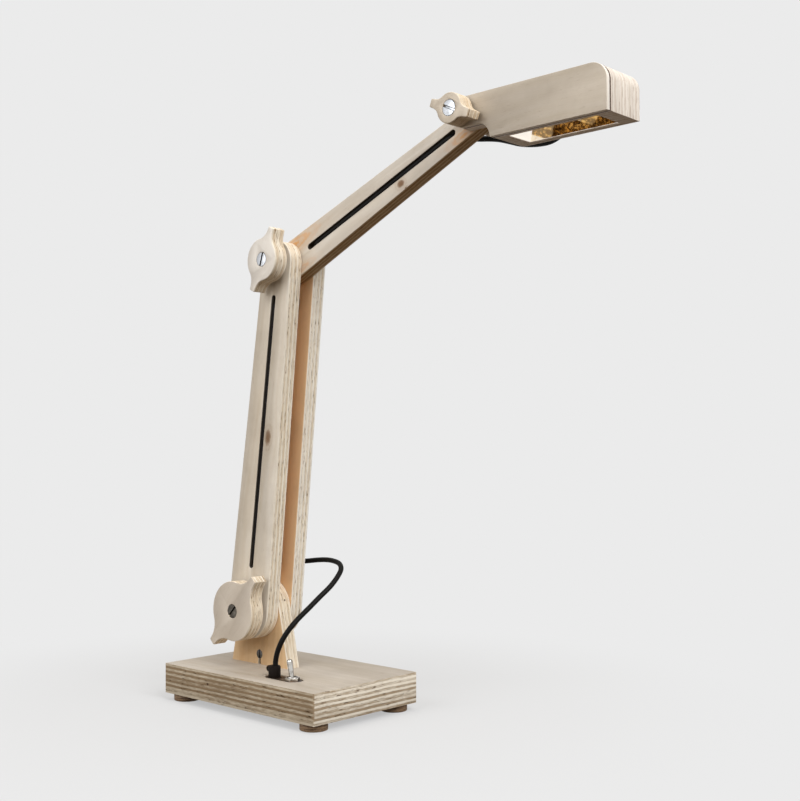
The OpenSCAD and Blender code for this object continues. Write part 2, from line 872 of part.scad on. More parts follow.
// Either board of the lower arm
module lower_board(y) {
    arm_board(y, shoulder_r, elbow_r, lower_l, lower_slot_start, lower_slot_stop);
}

// Lower arm board on the knobs' side
module lower_plate_near() {
    color("burlywood")
        on_lower()
            lower_board(-side_y);
}

// Lower arm board on the far side, with pockets for the nuts
module lower_plate_far() {
    color("burlywood")
        on_lower()
            difference() {
                lower_board(gap_half);
                for (x = [0, lower_l])
                    translate([x, 0, 0])
                        nut_pocket();
            }
}

// Nuts of the shoulder and elbow screws
module arm_nuts() {
    on_lower()
        for (x = [0, lower_l])
            translate([x, 0, 0])
                pivot_nut();
}

// Washers behind the shoulder and elbow knobs
module arm_washers() {
    color("silver")
        on_lower()
            for (x = [0, lower_l])
                translate([x, 0, 0])
                    ring(-side_y - arm_washer_t, -side_y, screw_r + washer_rim, washer_bore_r);
}

// Thin friction washers on both sides of the upright and of the upper arm
module arm_slips() {
    color("black")
        on_lower()
            for (x = [0, lower_l], y = [-gap_half, plate_t / 2])
                translate([x, 0, 0])
                    ring(y, y + slip_t, screw_r + slip_rim, washer_bore_r);
}

// Upper arm board
module upper_plate() {
    color("burlywood")
        on_upper()
            arm_board(-plate_t / 2, elbow_r, tip_r, upper_l, upper_slot_start, upper_slot_stop);
}

// Outline of the head's boards: a round tongue, a hollow notch under it and a rounded nose
module head_outline() {
    difference() {
        union() {
            circle(r = tongue_r);
            translate([0, -tongue_r])
                square([notch_x, 2 * tongue_r]);
            translate([notch_x, -head_drop])
                square([head_l - notch_x, head_drop + tongue_r]);
        }
        translate([notch_x, -head_drop])
            circle(r = notch_r);
        translate([head_l - nose_r, tongue_r - nose_r])
            difference() {
                square([nose_r + cut, nose_r + cut]);
                circle(r = nose_r);
            }
        circle(r = bore_r);
    }
}

// Pocket for the light, open below
module light_pocket() {
    translate([mouth_x, -mouth_near, -head_drop - cut])
        cube([mouth_l, mouth_w, pocket_h + cut]);
}

// Thin outer cover of the head
module head_cover() {
    color("burlywood")
        on_head()
            board(-side_y, veneer_t)
                head_outline();
}

// Black layer behind the cover
module head_shim() {
    color("black")
        on_head()
            board(veneer_t - side_y, shim_t)
                head_outline();
}

// Head board on the knob's side
module head_cheek_near() {
    color("burlywood")
        on_head()
            difference() {
                board(-gap_half - near_cheek_t, near_cheek_t)
                    head_outline();
                light_pocket();
            }
}

// Middle board of the head, ahead of the upper arm
module head_core() {
    color("burlywood")
        on_head()
            difference() {
                board(-gap_half, 2 * gap_half)
                    difference() {
                        head_outline();
                        translate([-head_l, -head_l])
                            square([head_l + core_x, 2 * head_l]);
                    }
                light_pocket();
            }
}

// Head board on the far side, with the nut's pocket and the cable's hole
module head_cheek_far() {
    color("burlywood")
        on_head()
            difference() {
                board(gap_half, plate_t)
                    head_outline();
                light_pocket();
                nut_pocket();
                translate([lead_x, 0, lead_z])
                    bar(gap_half, side_y + cut, cable_r + lead_gap);
            }
}

// Outline of the folded mirror strip, seen from the side
module mirror_outline() {
    x0 = mouth_x + fit_gap;
    x1 = mouth_x + mouth_l - fit_gap;
    r0 = ridge_x - ridge_w / 2;
    r1 = ridge_x + ridge_w / 2;
    fold = mirror_t * fold_share;
    polygon([
        [x0, mirror_low],
        [x0 + mirror_lean - fold, board_z],
        [r0 + fold, board_z],
        [ridge_x, board_z - ridge_h + fold],
        [r1 - fold, board_z],
        [x1 - mirror_lean + fold, board_z],
        [x1, mirror_low],
        [x1 - mirror_t, mirror_low],
        [x1 - mirror_t - mirror_lean, mirror_top],
        [r1, mirror_top],
        [ridge_x, mirror_top - ridge_h],
        [r0, mirror_top],
        [x0 + mirror_t + mirror_lean, mirror_top],
        [x0 + mirror_t, mirror_low]
    ]);
}

// Mirror tray: a folded strip between two side mirrors, with a hole for each light chip
module reflector() {
    side_t = mirror_t;
    color("gold")
        on_head()
            difference() {
                union() {
                    board(mouth_y - mouth_w / 2 + fit_gap, mouth_w - 2 * fit_gap)
                        mirror_outline();
                    for (y = [fit_gap - mouth_near, mouth_far - fit_gap - side_t])
                        translate([mouth_x + fit_gap, y, mirror_low])
                            cube([mouth_l - 2 * fit_gap, side_t, board_z - mirror_low]);
                }
                for (x = [ridge_x - chip_shift, ridge_x + chip_shift])
                    translate([x, mouth_y, mirror_top - cut])
                        cylinder(h = mirror_t + 2 * cut, r = chip_w / 2 + chip_t + chip_gap);
            }
}

// Board that carries the light chips, against the ceiling of the pocket
module light_board() {
    color("white")
        on_head()
            translate([mouth_x + fit_gap, fit_gap - mouth_near, board_z])
                cube([mouth_l - 2 * fit_gap, mouth_w - 2 * fit_gap, board_t]);
}

// Two light chips
module light_chips() {
    color("yellow")
        on_head()
            for (x = [ridge_x - chip_shift, ridge_x + chip_shift])
                translate([x - chip_w / 2, mouth_y - chip_w / 2, board_z - chip_t])
                    cube([chip_w, chip_w, chip_t]);
}

// Nut of the head screw
module head_nut() {
    on_head()
        pivot_nut();
}

// Washer behind the head knob
module head_washer() {
    color("silver")
        on_head()
            ring(-side_y - head_washer_t, -side_y, screw_r + washer_rim, washer_bore_r);
}

// Thin friction washers on both sides of the upper arm's end
module head_slips() {
    color("black")
        on_head()
            for (y = [-gap_half, plate_t / 2])
                ring(y, y + slip_t, screw_r + tip_slip_rim, washer_bore_r);
}

// Shoulder knob and its screw
module shoulder_knob() {
    translate([shoulder_x, 0, shoulder_z])
        knob(shoulder_knob_r, shoulder_wing_r, shoulder_wing_half_w, shoulder_wing_angle, arm_washer_t);
}
module shoulder_screw() {
    translate([shoulder_x, 0, shoulder_z])
        pivot_screw(shoulder_drive_angle, arm_washer_t);
}

// Elbow knob and its screw
module elbow_knob() {
    translate([elbow_x, 0, elbow_z])
        knob(elbow_knob_r, elbow_wing_r, elbow_wing_half_w, elbow_wing_angle, arm_washer_t);
}
module elbow_screw() {
    translate([elbow_x, 0, elbow_z])
        pivot_screw(elbow_drive_angle, arm_washer_t);
}

// Head knob and its screw
module head_knob() {
    translate([head_x, 0, head_z])
        knob(head_knob_r, head_wing_r, head_wing_half_w, head_wing_angle, head_washer_t);
}
module head_screw() {
    translate([head_x, 0, head_z])
        pivot_screw(head_drive_angle, head_washer_t);
}

// Stretches of the lamp's own cable
module cable_base_loop() {
    cable(base_route);
}
module cable_lower_run() {
    on_lower()
        cable(lower_route);
}
module cable_elbow_loop() {
    cable(elbow_route);
}
module cable_upper_run() {
    on_upper()
        cable(upper_route);
}
module cable_head_loop() {
    cable(head_route);
}

base_plate();
feet();
foot_screws();
steel_weight();
bottom_cover();
cover_screws();
upright();
barrel_nut();
upright_bolt();
switch_plate();
switch_body();
switch_neck();
switch_nut();
switch_lever();
cable_gland();
power_inlet();
lower_plate_near();
lower_plate_far();
arm_nuts();
arm_washers();
arm_slips();
upper_plate();
head_cover();
head_shim();
head_cheek_near();
head_core();
head_cheek_far();
reflector();
light_board();
light_chips();
head_nut();
head_washer();
head_slips();
shoulder_knob();
shoulder_screw();
elbow_knob();
elbow_screw();
head_knob();
head_screw();
cable_base_loop();
cable_lower_run();
cable_elbow_loop();
cable_upper_run();
cable_head_loop();
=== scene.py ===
"""Looks of the folding plywood desk lamp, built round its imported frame."""

from __future__ import annotations

import json
import logging
import math
from dataclasses import dataclass
from enum import Enum

import bmesh
import bpy
from bpy.types import Material, Mesh, Node, NodeOutputs, NodeSocket, NodeTree, Object
from mathutils import Euler, Matrix, Vector

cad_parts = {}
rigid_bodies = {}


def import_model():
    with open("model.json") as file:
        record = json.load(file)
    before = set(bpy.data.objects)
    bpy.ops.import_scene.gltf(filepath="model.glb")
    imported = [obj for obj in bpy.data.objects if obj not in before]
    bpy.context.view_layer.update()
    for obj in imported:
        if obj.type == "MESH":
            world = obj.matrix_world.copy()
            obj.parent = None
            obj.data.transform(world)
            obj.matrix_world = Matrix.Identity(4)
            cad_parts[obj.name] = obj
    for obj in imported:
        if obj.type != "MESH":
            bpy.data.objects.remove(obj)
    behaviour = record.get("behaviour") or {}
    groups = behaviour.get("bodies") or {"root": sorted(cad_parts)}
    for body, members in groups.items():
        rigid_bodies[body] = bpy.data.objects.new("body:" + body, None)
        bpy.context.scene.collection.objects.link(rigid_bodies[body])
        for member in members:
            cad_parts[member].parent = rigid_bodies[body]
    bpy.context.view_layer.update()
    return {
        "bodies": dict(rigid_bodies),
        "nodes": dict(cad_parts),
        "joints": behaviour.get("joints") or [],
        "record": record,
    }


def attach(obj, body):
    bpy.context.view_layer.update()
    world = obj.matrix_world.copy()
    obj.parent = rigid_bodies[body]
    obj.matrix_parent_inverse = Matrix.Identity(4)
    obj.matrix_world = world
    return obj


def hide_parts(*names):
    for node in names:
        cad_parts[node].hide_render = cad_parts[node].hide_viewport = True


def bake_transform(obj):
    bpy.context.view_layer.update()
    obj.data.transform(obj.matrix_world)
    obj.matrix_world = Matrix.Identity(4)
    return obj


log = logging.getLogger("desk_lamp")

MM = 0.001
Triple = tuple[float, float, float]
Colour = tuple[float, float, float]
Route = tuple[Triple, ...]
Bend = tuple[tuple[float, float], ...]
Wire = NodeSocket


def rgb(red: int, green: int, blue: int) -> Colour:
    """Turns a colour written from 0 to 255 into the values that a shader reads.

    Args:
        red: Red as seen on screen.
        green: Green as seen on screen.
        blue: Blue as seen on screen.

    Returns:
        The three linear values.
    """

    def channel(value: int) -> float:
        """Returns the linear value of one channel."""
        share = value / 255
        return share / 12.92 if share <= 0.04045 else ((share + 0.055) / 1.055) ** 2.4

    return channel(red), channel(green), channel(blue)


def metres(point: Triple) -> Vector:
    """Returns a point given in millimetres as a vector in metres."""
    return Vector(point) * MM


def stand(name: str, data: bpy.types.ID) -> Object:
    """Stands a new object in the scene.

    Args:
        name: The object's name.
        data: The mesh, curve, lamp or camera that it holds.

    Returns:
        The object.
    """
    made = bpy.data.objects.new(name, data)
    bpy.context.scene.collection.objects.link(made)
    return made


class Socket(Enum):
    """Kinds of socket on a shared effect."""

    VALUE = "NodeSocketFloat"
    COLOUR = "NodeSocketColor"
    VECTOR = "NodeSocketVector"


class Op(Enum):
    """Sums that a Math node does here."""

    ADD = "ADD"
    TAKE = "SUBTRACT"
    TIMES = "MULTIPLY"
    OVER = "DIVIDE"
    TIMES_ADD = "MULTIPLY_ADD"
    ROOT = "SQRT"
    SIZE = "ABSOLUTE"
    MOST = "MAXIMUM"
    FLOOR = "FLOOR"
    PART = "FRACT"
    SINE = "SINE"
    EXP = "EXPONENT"


class Blend(Enum):
    """Ways in which two colours are mixed."""

    MIX = "MIX"
    TIMES = "MULTIPLY"


@dataclass(frozen=True)
class Seat:
    """A place in the lamp that a pattern or a piece is set out from, in millimetres.

    The local X axis runs along the grain, Y through the board and Z across the grain.
    """

    origin: Triple = (0.0, 0.0, 0.0)
    rise: float = 0.0
    flat: bool = False

    def turn(self, way: float = 1.0) -> Triple:
        """Returns the Euler angles that turn out of this seat, or into it where way is -1."""
        angle = way * math.radians(90.0 if self.flat else -self.rise)
        return (angle, 0.0, 0.0) if self.flat else (0.0, angle, 0.0)

    def matrix(self) -> Matrix:
        """Returns the transform from this seat to the lamp's frame, in metres."""
        return Matrix.Translation(metres(self.origin)) @ Euler(self.turn()).to_matrix().to_4x4()


VALUE, COLOUR, VECTOR = Socket

SHOULDER: Triple = (-21.3, 0.0, 57.2)
ELBOW: Triple = (5.4376, 0.0, 266.4991)
HEAD: Triple = (148.8284, 0.0, 328.6984)
BASE_SEAT = Seat(flat=True)
POST_SEAT = Seat(SHOULDER, 90.0)
LOWER_SEAT = Seat(SHOULDER, 82.72)
UPPER_SEAT = Seat(ELBOW, 23.45)
HEAD_SEAT = Seat(HEAD, 0.6)

# The boards of the arms and the head, through the lamp, and the slots along the arms, in millimetres.
BOARD, PLIES, SLIP = 9.4, 7, 0.25
MIDDLE = -BOARD / 2
FAR = BOARD / 2 + SLIP
NEAR = -FAR - BOARD
LOWER_SLOT = (25.6, 191.1)
UPPER_SLOT = (18.5, 142.0)

# How far a surface of a board turns to its face before it is wholly face or edge.
ON_FACE = (0.55, 0.85)

PORE: Colour = (0.42, 0.32, 0.22)
SCRATCHED: Colour = (0.9, 0.89, 0.87)
KNOT_RING = rgb(150, 116, 78)
KNOT_HEART = rgb(118, 84, 52)
# Painted shadow: the warm orange of shade by the joints.
WARM_SHADOW = rgb(222, 168, 108)
# Painted shade: the near black of the deep slots.
SLOT_SHADE = rgb(34, 26, 20)
PIT = rgb(70, 48, 34)
HANDLED = rgb(150, 132, 112)
# Painted highlight: the pale line along eased edges.
EDGE_HIGHLIGHT = rgb(226, 216, 200)
PALE_PLY = rgb(246, 238, 222)


class Graph:
    """A node tree with short calls for the nodes that the finishes use."""

    COLUMNS, WIDE, HIGH = 10, 240, 300

    def __init__(self, tree: NodeTree) -> None:
        """Takes the tree that is built."""
        self.tree = tree

    def node(self, kind: str, **settings: object) -> Node:
        """Adds a node and sets its properties.

        Args:
            kind: The node's type name.
            **settings: Properties of the node.

        Returns:
            The new node.
        """
        row, column = divmod(len(self.tree.nodes), self.COLUMNS)
        made = self.tree.nodes.new(kind)
        made.location = (self.WIDE * column, -self.HIGH * row)
        for name, value in settings.items():
            setattr(made, name, value)
        return made

    def feed(self, socket: Wire, value: object) -> None:
        """Links a socket to an input, or sets the input to a constant.

        Args:
            socket: The input.
            value: Another socket, a number, a colour or a vector.
        """
        if isinstance(value, Wire):
            self.tree.links.new(value, socket)
        elif socket.type == "RGBA" and len(value) == 3:
            socket.default_value = (*value, 1.0)
        else:
            socket.default_value = value

    def put(self, node: Node, **values: object) -> None:
        """Feeds a node's inputs by name, with spaces written as underscores."""
        for title, value in values.items():
            self.feed(node.inputs[title.replace("_", " ")], value)

    def fed(self, kind: str, *values: object, **settings: object) -> Wire:
        """Adds a node and feeds its inputs in order.

        Args:
            kind: The node's type name.
            *values: What each input is fed.
            **settings: Properties of the node.

        Returns:
            The node's first output.
        """
        made = self.node(kind, **settings)
        for socket, value in zip(made.inputs, values):
            self.feed(socket, value)
        return made.outputs[0]

    def math(self, op: Op, *values: object, clamp: bool = False) -> Wire:
        """Returns a sum of one to three values, kept between 0 and 1 where clamp is set."""
        return self.fed("ShaderNodeMath", *values, operation=op.value, use_clamp=clamp)

    def times(self, one: object, two: object, clamp: bool = False) -> Wire:
        """Returns one value times another."""
        return self.math(Op.TIMES, one, two, clamp=clamp)

    def less(self, value: object, by: object) -> Wire:
        """Returns one value less another."""
        return self.math(Op.TAKE, value, by)

    def lift(self, value: object, by: object, onto: object, clamp: bool = False) -> Wire:
        """Returns one value times another, added to a third."""
        return self.math(Op.TIMES_ADD, value, by, onto, clamp=clamp)

    def split(self, vector: Wire) -> list[Wire]:
        """Returns the sockets of a vector's three numbers."""
        return list(self.fed("ShaderNodeSeparateXYZ", vector).node.outputs)

    def joined(self, x: object, y: object, z: object) -> Wire:
        """Returns the socket of a vector made of three numbers."""
        return self.fed("ShaderNodeCombineXYZ", x, y, z)

    def noise(
        self, vector: Wire, stretch: Triple, seed: object, detail: float = 3.0, rough: float = 0.55
    ) -> Wire:
        """Adds a noise stretched on each axis.

        Args:
            vector: Place in metres.
            stretch: Waves a metre on each axis.
            seed: Number or socket that shifts the pattern.
            detail: Octaves.
            rough: Weight of the finer octaves.

        Returns:
            The noise's value, about 0.5 on average.
        """
        made = self.node("ShaderNodeTexNoise", noise_dimensions="4D")
        scaled = self.fed("ShaderNodeVectorMath", vector, stretch, operation="MULTIPLY")
        self.put(made, Vector=scaled, W=seed, Scale=1.0, Detail=detail, Roughness=rough)
        return made.outputs["Fac"]

    def step(self, value: object, low: object, high: object, out: tuple[float, float] = (0.0, 1.0)) -> Wire:
        """Adds a smooth step from one value to another.

        Args:
            value: What is tested.
            low: Where the step starts.
            high: Where the step ends.
            out: Results below and above the step.

        Returns:
            The step's socket.
        """
        made = self.node("ShaderNodeMapRange", interpolation_type="SMOOTHSTEP")
        self.put(made, Value=value, From_Min=low, From_Max=high, To_Min=out[0], To_Max=out[1])
        return made.outputs[0]

    def mix(self, share: object, under: object, over: object, way: Blend = Blend.MIX) -> Wire:
        """Mixes two colours.

        Args:
            share: How much of the second colour.
            under: First colour.
            over: Second colour.
            way: How they mix.

        Returns:
            The mixed colour's socket.
        """
        made = self.node("ShaderNodeMix", data_type="RGBA", blend_type=way.value)
        for index, value in ((0, share), (6, under), (7, over)):
            self.feed(made.inputs[index], value)
        return made.outputs[2]

    def between(self, share: object, under: object, over: object) -> Wire:
        """Mixes two numbers.

        Args:
            share: How much of the second number.
            under: First number.
            over: Second number.

        Returns:
            The mixed number's socket.
        """
        made = self.node("ShaderNodeMix", data_type="FLOAT")
        for index, value in ((0, share), (2, under), (3, over)):
            self.feed(made.inputs[index], value)
        return made.outputs[0]

    def seen(self) -> Wire:
        """Masks what the camera sees by itself, in gloss or through glass.

        Returns:
            The mask's socket.
        """
        ray = self.node("ShaderNodeLightPath").outputs
        indirect = self.math(Op.MOST, ray["Is Glossy Ray"], ray["Is Transmission Ray"])
        return self.math(Op.MOST, ray["Is Camera Ray"], indirect)


class Effect:
    """A shader node group that several finishes share."""

    def __init__(self, name: str, inlets: dict[str, Socket], outlets: dict[str, Socket]) -> None:
        """Makes the group and its sockets.

        Args:
            name: The group's name.
            inlets: Names and kinds of its inputs.
            outlets: Names and kinds of its outputs.
        """
        self.group = bpy.data.node_groups.new(name, "ShaderNodeTree")
        for way, sockets in (("INPUT", inlets), ("OUTPUT", outlets)):
            for title, kind in sockets.items():
                self.group.interface.new_socket(name=title, in_out=way, socket_type=kind.value)
        self.graph = Graph(self.group)
        self.inlet = self.graph.node("NodeGroupInput").outputs
        self.outlet = self.graph.node("NodeGroupOutput")

    def give(self, **results: object) -> None:
        """Feeds the group's outputs by name."""
        self.graph.put(self.outlet, **results)

    def place(self, graph: Graph, **values: object) -> NodeOutputs:
        """Puts the group in a material.

        Args:
            graph: The material's graph.
            **values: Sockets or constants for the inputs, with spaces written as underscores.

        Returns:
            The outputs of the placed group.
        """
        made = graph.node("ShaderNodeGroup", node_tree=self.group)
        graph.put(made, **values)
        return made.outputs


class Effects:
    """The shared effects, each built once."""

    def __init__(self) -> None:
        """Builds every effect."""
        self.face = self._face()
        self.edge = self._edge()
        self.knot = self._knot()
        self.smudge = self._smudge()
        self.scratch = self._scratch()

    @staticmethod
    def _face() -> Effect:
        """Makes sanded birch veneer: soft figure, faint growth lines, fibres and short pores.

        Returns:
            The effect.
        """
        effect = Effect(
            "birch_face",
            {"Place": VECTOR, "Seed": VALUE, "Pale": COLOUR, "Warm": COLOUR, "Figure": VALUE},
            {"Color": COLOUR, "Rough": VALUE, "Height": VALUE},
        )
        g, inlet = effect.graph, effect.inlet
        place, seed, figure = inlet["Place"], inlet["Seed"], inlet["Figure"]
        _, _, z = g.split(place)
        broad = g.noise(place, (9.0, 20.0, 62.0), seed)
        sway = g.noise(place, (6.0, 20.0, 26.0), seed, 2.0, 0.5)
        growth = g.math(Op.SINE, g.times(g.lift(sway, 0.05, z), 980.0))
        fibre = g.noise(place, (70.0, 300.0, 1900.0), seed, 4.0, 0.62)
        pore = g.step(g.noise(place, (260.0, 600.0, 2900.0), seed, 2.0, 0.5), 0.63, 0.74)
        share = g.lift(g.less(broad, 0.5), g.times(figure, 1.9), 0.46)
        share = g.lift(growth, g.times(figure, 0.085), share)
        share = g.lift(g.less(fibre, 0.5), 0.55, share, clamp=True)
        colour = g.mix(share, inlet["Pale"], inlet["Warm"])
        colour = g.mix(g.times(pore, 0.3), colour, PORE, Blend.TIMES)
        height = g.less(fibre, g.times(pore, 0.5))
        effect.give(Color=colour, Rough=g.lift(fibre, 0.2, 0.5), Height=height)
        return effect

    @staticmethod
    def _edge() -> Effect:
        """Makes the cut edge of plywood: plies with their grain in turn, glue lines and torn fibres.

        Returns:
            The effect.
        """
        effect = Effect(
            "ply_edge",
            {
                "Place": VECTOR, "Facing": VECTOR, "Bottom": VALUE, "Ply": VALUE, "Cross Share": VALUE,
                "Streaks": VALUE, "Seed": VALUE, "Line": VALUE, "Rough Above": VALUE,
                "Long": COLOUR, "End": COLOUR, "Glue": COLOUR,
            },
            {"Color": COLOUR, "Rough": VALUE, "Height": VALUE},
        )
        g, inlet = effect.graph, effect.inlet
        place, seed, streaks = inlet["Place"], inlet["Seed"], inlet["Streaks"]
        _, y, _ = g.split(place)
        along_x, _, along_z = g.split(inlet["Facing"])
        sway = g.noise(place, (24.0, 60.0, 24.0), seed, 4.0, 0.62)
        level = g.math(Op.OVER, g.less(y, inlet["Bottom"]), inlet["Ply"])
        level = g.math(Op.ADD, level, g.times(g.less(sway, 0.5), g.times(streaks, 0.9)))
        number = g.math(Op.FLOOR, level)
        pair = g.math(Op.PART, g.times(level, 0.5))
        off = g.math(Op.SIZE, g.less(pair, 0.75))
        half = g.times(inlet["Cross Share"], 0.5)
        cross = g.step(g.less(off, half), -0.05, 0.05, (1.0, 0.0))
        end_x = g.times(g.math(Op.SIZE, along_x), g.less(1.0, cross))
        end_z = g.times(g.math(Op.SIZE, along_z), cross)
        end = g.math(Op.ADD, end_z, end_x, clamp=True)
        odd = g.node("ShaderNodeTexWhiteNoise", noise_dimensions="1D")
        g.put(odd, W=g.math(Op.ADD, number, seed))
        tone = g.lift(odd.outputs["Value"], 0.5, -0.3)
        drift = g.noise(place, (26.0, 420.0, 26.0), seed, 3.0, 0.6)
        fibre = g.noise(place, (190.0, 1300.0, 190.0), seed, 4.0, 0.7)
        torn = g.noise(place, (230.0, 1150.0, 230.0), g.math(Op.ADD, seed, 3.0), 3.0, 0.62)
        share = g.lift(g.less(fibre, 0.5), g.times(streaks, 2.1), g.lift(end, 0.85, tone))
        share = g.lift(g.less(drift, 0.5), g.times(streaks, 1.3), share)
        brink = inlet["Rough Above"]
        worn = g.step(g.lift(sway, 0.006, y), brink, g.math(Op.ADD, brink, 0.0025))
        worn = g.times(worn, g.math(Op.MOST, along_z, 0.0))
        share = g.lift(worn, 0.5, share, clamp=True)
        colour = g.mix(share, inlet["Long"], inlet["End"])
        tear = g.times(g.step(torn, 0.57, 0.68), g.times(g.lift(end, 0.6, 0.25), streaks), clamp=True)
        colour = g.mix(tear, colour, inlet["Glue"])
        seam = g.math(Op.SIZE, g.less(off, half))
        glue = g.times(g.step(seam, 0.02, 0.07, (1.0, 0.0)), g.step(torn, 0.4, 0.6, (0.12, 0.9)))
        colour = g.mix(g.times(glue, inlet["Line"]), colour, inlet["Glue"])
        dents = g.math(Op.MOST, g.times(tear, 0.9), g.times(glue, 0.6))
        height = g.less(g.times(fibre, 0.8), dents)
        effect.give(Color=colour, Rough=g.lift(end, 0.12, 0.66), Height=height)
        return effect

    @staticmethod
    def _knot() -> Effect:
        """Makes a pin knot: a dark heart, rings round it, and grain that bends past it.

        Returns:
            The effect.
        """
        effect = Effect(
            "pin_knot",
            {"Place": VECTOR, "X": VALUE, "Z": VALUE, "Half X": VALUE, "Half Z": VALUE},
            {"Heart": VALUE, "Ring": VALUE, "Bent": VECTOR},
        )
        g, inlet = effect.graph, effect.inlet
        x, y, z = g.split(inlet["Place"])
        dx = g.math(Op.OVER, g.less(x, inlet["X"]), inlet["Half X"])
        dz = g.math(Op.OVER, g.less(z, inlet["Z"]), inlet["Half Z"])
        far = g.math(Op.ROOT, g.math(Op.ADD, g.times(dx, dx), g.times(dz, dz)))
        ragged = g.noise(inlet["Place"], (500.0, 0.0, 500.0), 3.0, 3.0, 0.6)
        far = g.lift(g.less(ragged, 0.5), 0.7, far)
        heart = g.step(far, 0.45, 0.85, (1.0, 0.0))
        fade = g.math(Op.EXP, g.times(g.times(far, far), -0.8))
        ring = g.times(g.lift(g.math(Op.SINE, g.times(far, 11.0)), 0.3, 0.7), fade)
        bend = g.math(Op.EXP, g.times(g.times(far, far), -0.16))
        drawn = g.lift(g.times(g.less(inlet["Z"], z), bend), 0.75, z)
        effect.give(Heart=heart, Ring=ring, Bent=g.joined(x, y, drawn))
        return effect

    @staticmethod
    def _smudge() -> Effect:
        """Makes faint marks of handling and dust, broad and uneven.

        Returns:
            The effect.
        """
        effect = Effect("handling", {"Place": VECTOR, "Seed": VALUE}, {"Mark": VALUE})
        g, inlet = effect.graph, effect.inlet
        broad = g.noise(inlet["Place"], (32.0, 32.0, 32.0), inlet["Seed"], 4.0, 0.62)
        fine = g.noise(inlet["Place"], (240.0, 240.0, 240.0), inlet["Seed"], 2.0, 0.5)
        effect.give(Mark=g.step(g.lift(fine, 0.18, broad), 0.5, 0.82))
        return effect

    @staticmethod
    def _scratch() -> Effect:
        """Makes fine wear on metal and plastic: scratches two ways and a cloudy film.

        Returns:
            The effect.
        """
        effect = Effect(
            "fine_wear", {"Place": VECTOR, "Seed": VALUE}, {"Scratch": VALUE, "Film": VALUE, "Height": VALUE}
        )
        g, inlet = effect.graph, effect.inlet
        one = g.noise(inlet["Place"], (300.0, 9000.0, 2500.0), inlet["Seed"], 2.0, 0.5)
        two = g.noise(inlet["Place"], (6500.0, 900.0, 260.0), inlet["Seed"], 2.0, 0.5)
        scratch = g.math(Op.MOST, g.step(one, 0.62, 0.76), g.step(two, 0.64, 0.78))
        film = g.noise(inlet["Place"], (320.0, 320.0, 320.0), inlet["Seed"], 4.0, 0.6)
        effect.give(Scratch=scratch, Film=film, Height=g.lift(film, 0.5, scratch))
        return effect


@dataclass(frozen=True)
class Finish:
    """What every finish shares: a name, and a material with one Principled shader."""

    name: str

    def start(self) -> tuple[Material, Graph, Node, NodeOutputs]:
        """Makes an empty material.

        Returns:
            The material, its graph, its shader and its texture coordinates.
        """
        material = bpy.data.materials.new(self.name)
        material.use_nodes = True
        material.node_tree.nodes.clear()
        graph = Graph(material.node_tree)
        shader = graph.node("ShaderNodeBsdfPrincipled")
        graph.put(graph.node("ShaderNodeOutputMaterial"), Surface=shader.outputs[0])
        return material, graph, shader, graph.node("ShaderNodeTexCoord").outputs

    @staticmethod
    def wear(g: Graph, effects: Effects, place: Wire, seed: float) -> tuple[NodeOutputs, Wire]:
        """Returns the outputs of the fine wear, and the marks of handling."""
        wear = effects.scratch.place(g, Place=place, Seed=seed)
        return wear, effects.smudge.place(g, Place=place, Seed=seed)["Mark"]

    @staticmethod
    def bump(graph: Graph, shader: Node, height: Wire, depth: float, strength: float) -> None:
        """Feeds the shader's normal from a height.

        Args:
            graph: The material's graph.
            shader: Its shader.
            height: The height's socket.
            depth: Depth of the relief in metres.
            strength: How strongly it shows.
        """
        made = graph.node("ShaderNodeBump")
        graph.put(made, Distance=depth, Strength=strength, Height=height)
        graph.put(shader, Normal=made.outputs[0])


@dataclass(frozen=True)
class OvalMark:
    """An oval mark in a board's face or edge, at a place in the board's own seat, in millimetres: a knot, a
    pit, or a patch of painted shadow.
    """

    x: float
    z: float
    half_x: float
    half_z: float
    depth: float = 1.0

    def place(self, graph: Graph, effects: Effects, place: Wire) -> NodeOutputs:
        """Puts the mark in a material, drawn with the knot effect.

        Args:
            graph: The material's graph.
            effects: The shared effects.
            place: Place in the board's seat.

        Returns:
            The knot's heart and ring, and the place with the grain bent round it.
        """
        x, z, half_x, half_z = (size * MM for size in (self.x, self.z, self.half_x, self.half_z))
        return effects.knot.place(graph, Place=place, X=x, Z=z, Half_X=half_x, Half_Z=half_z)


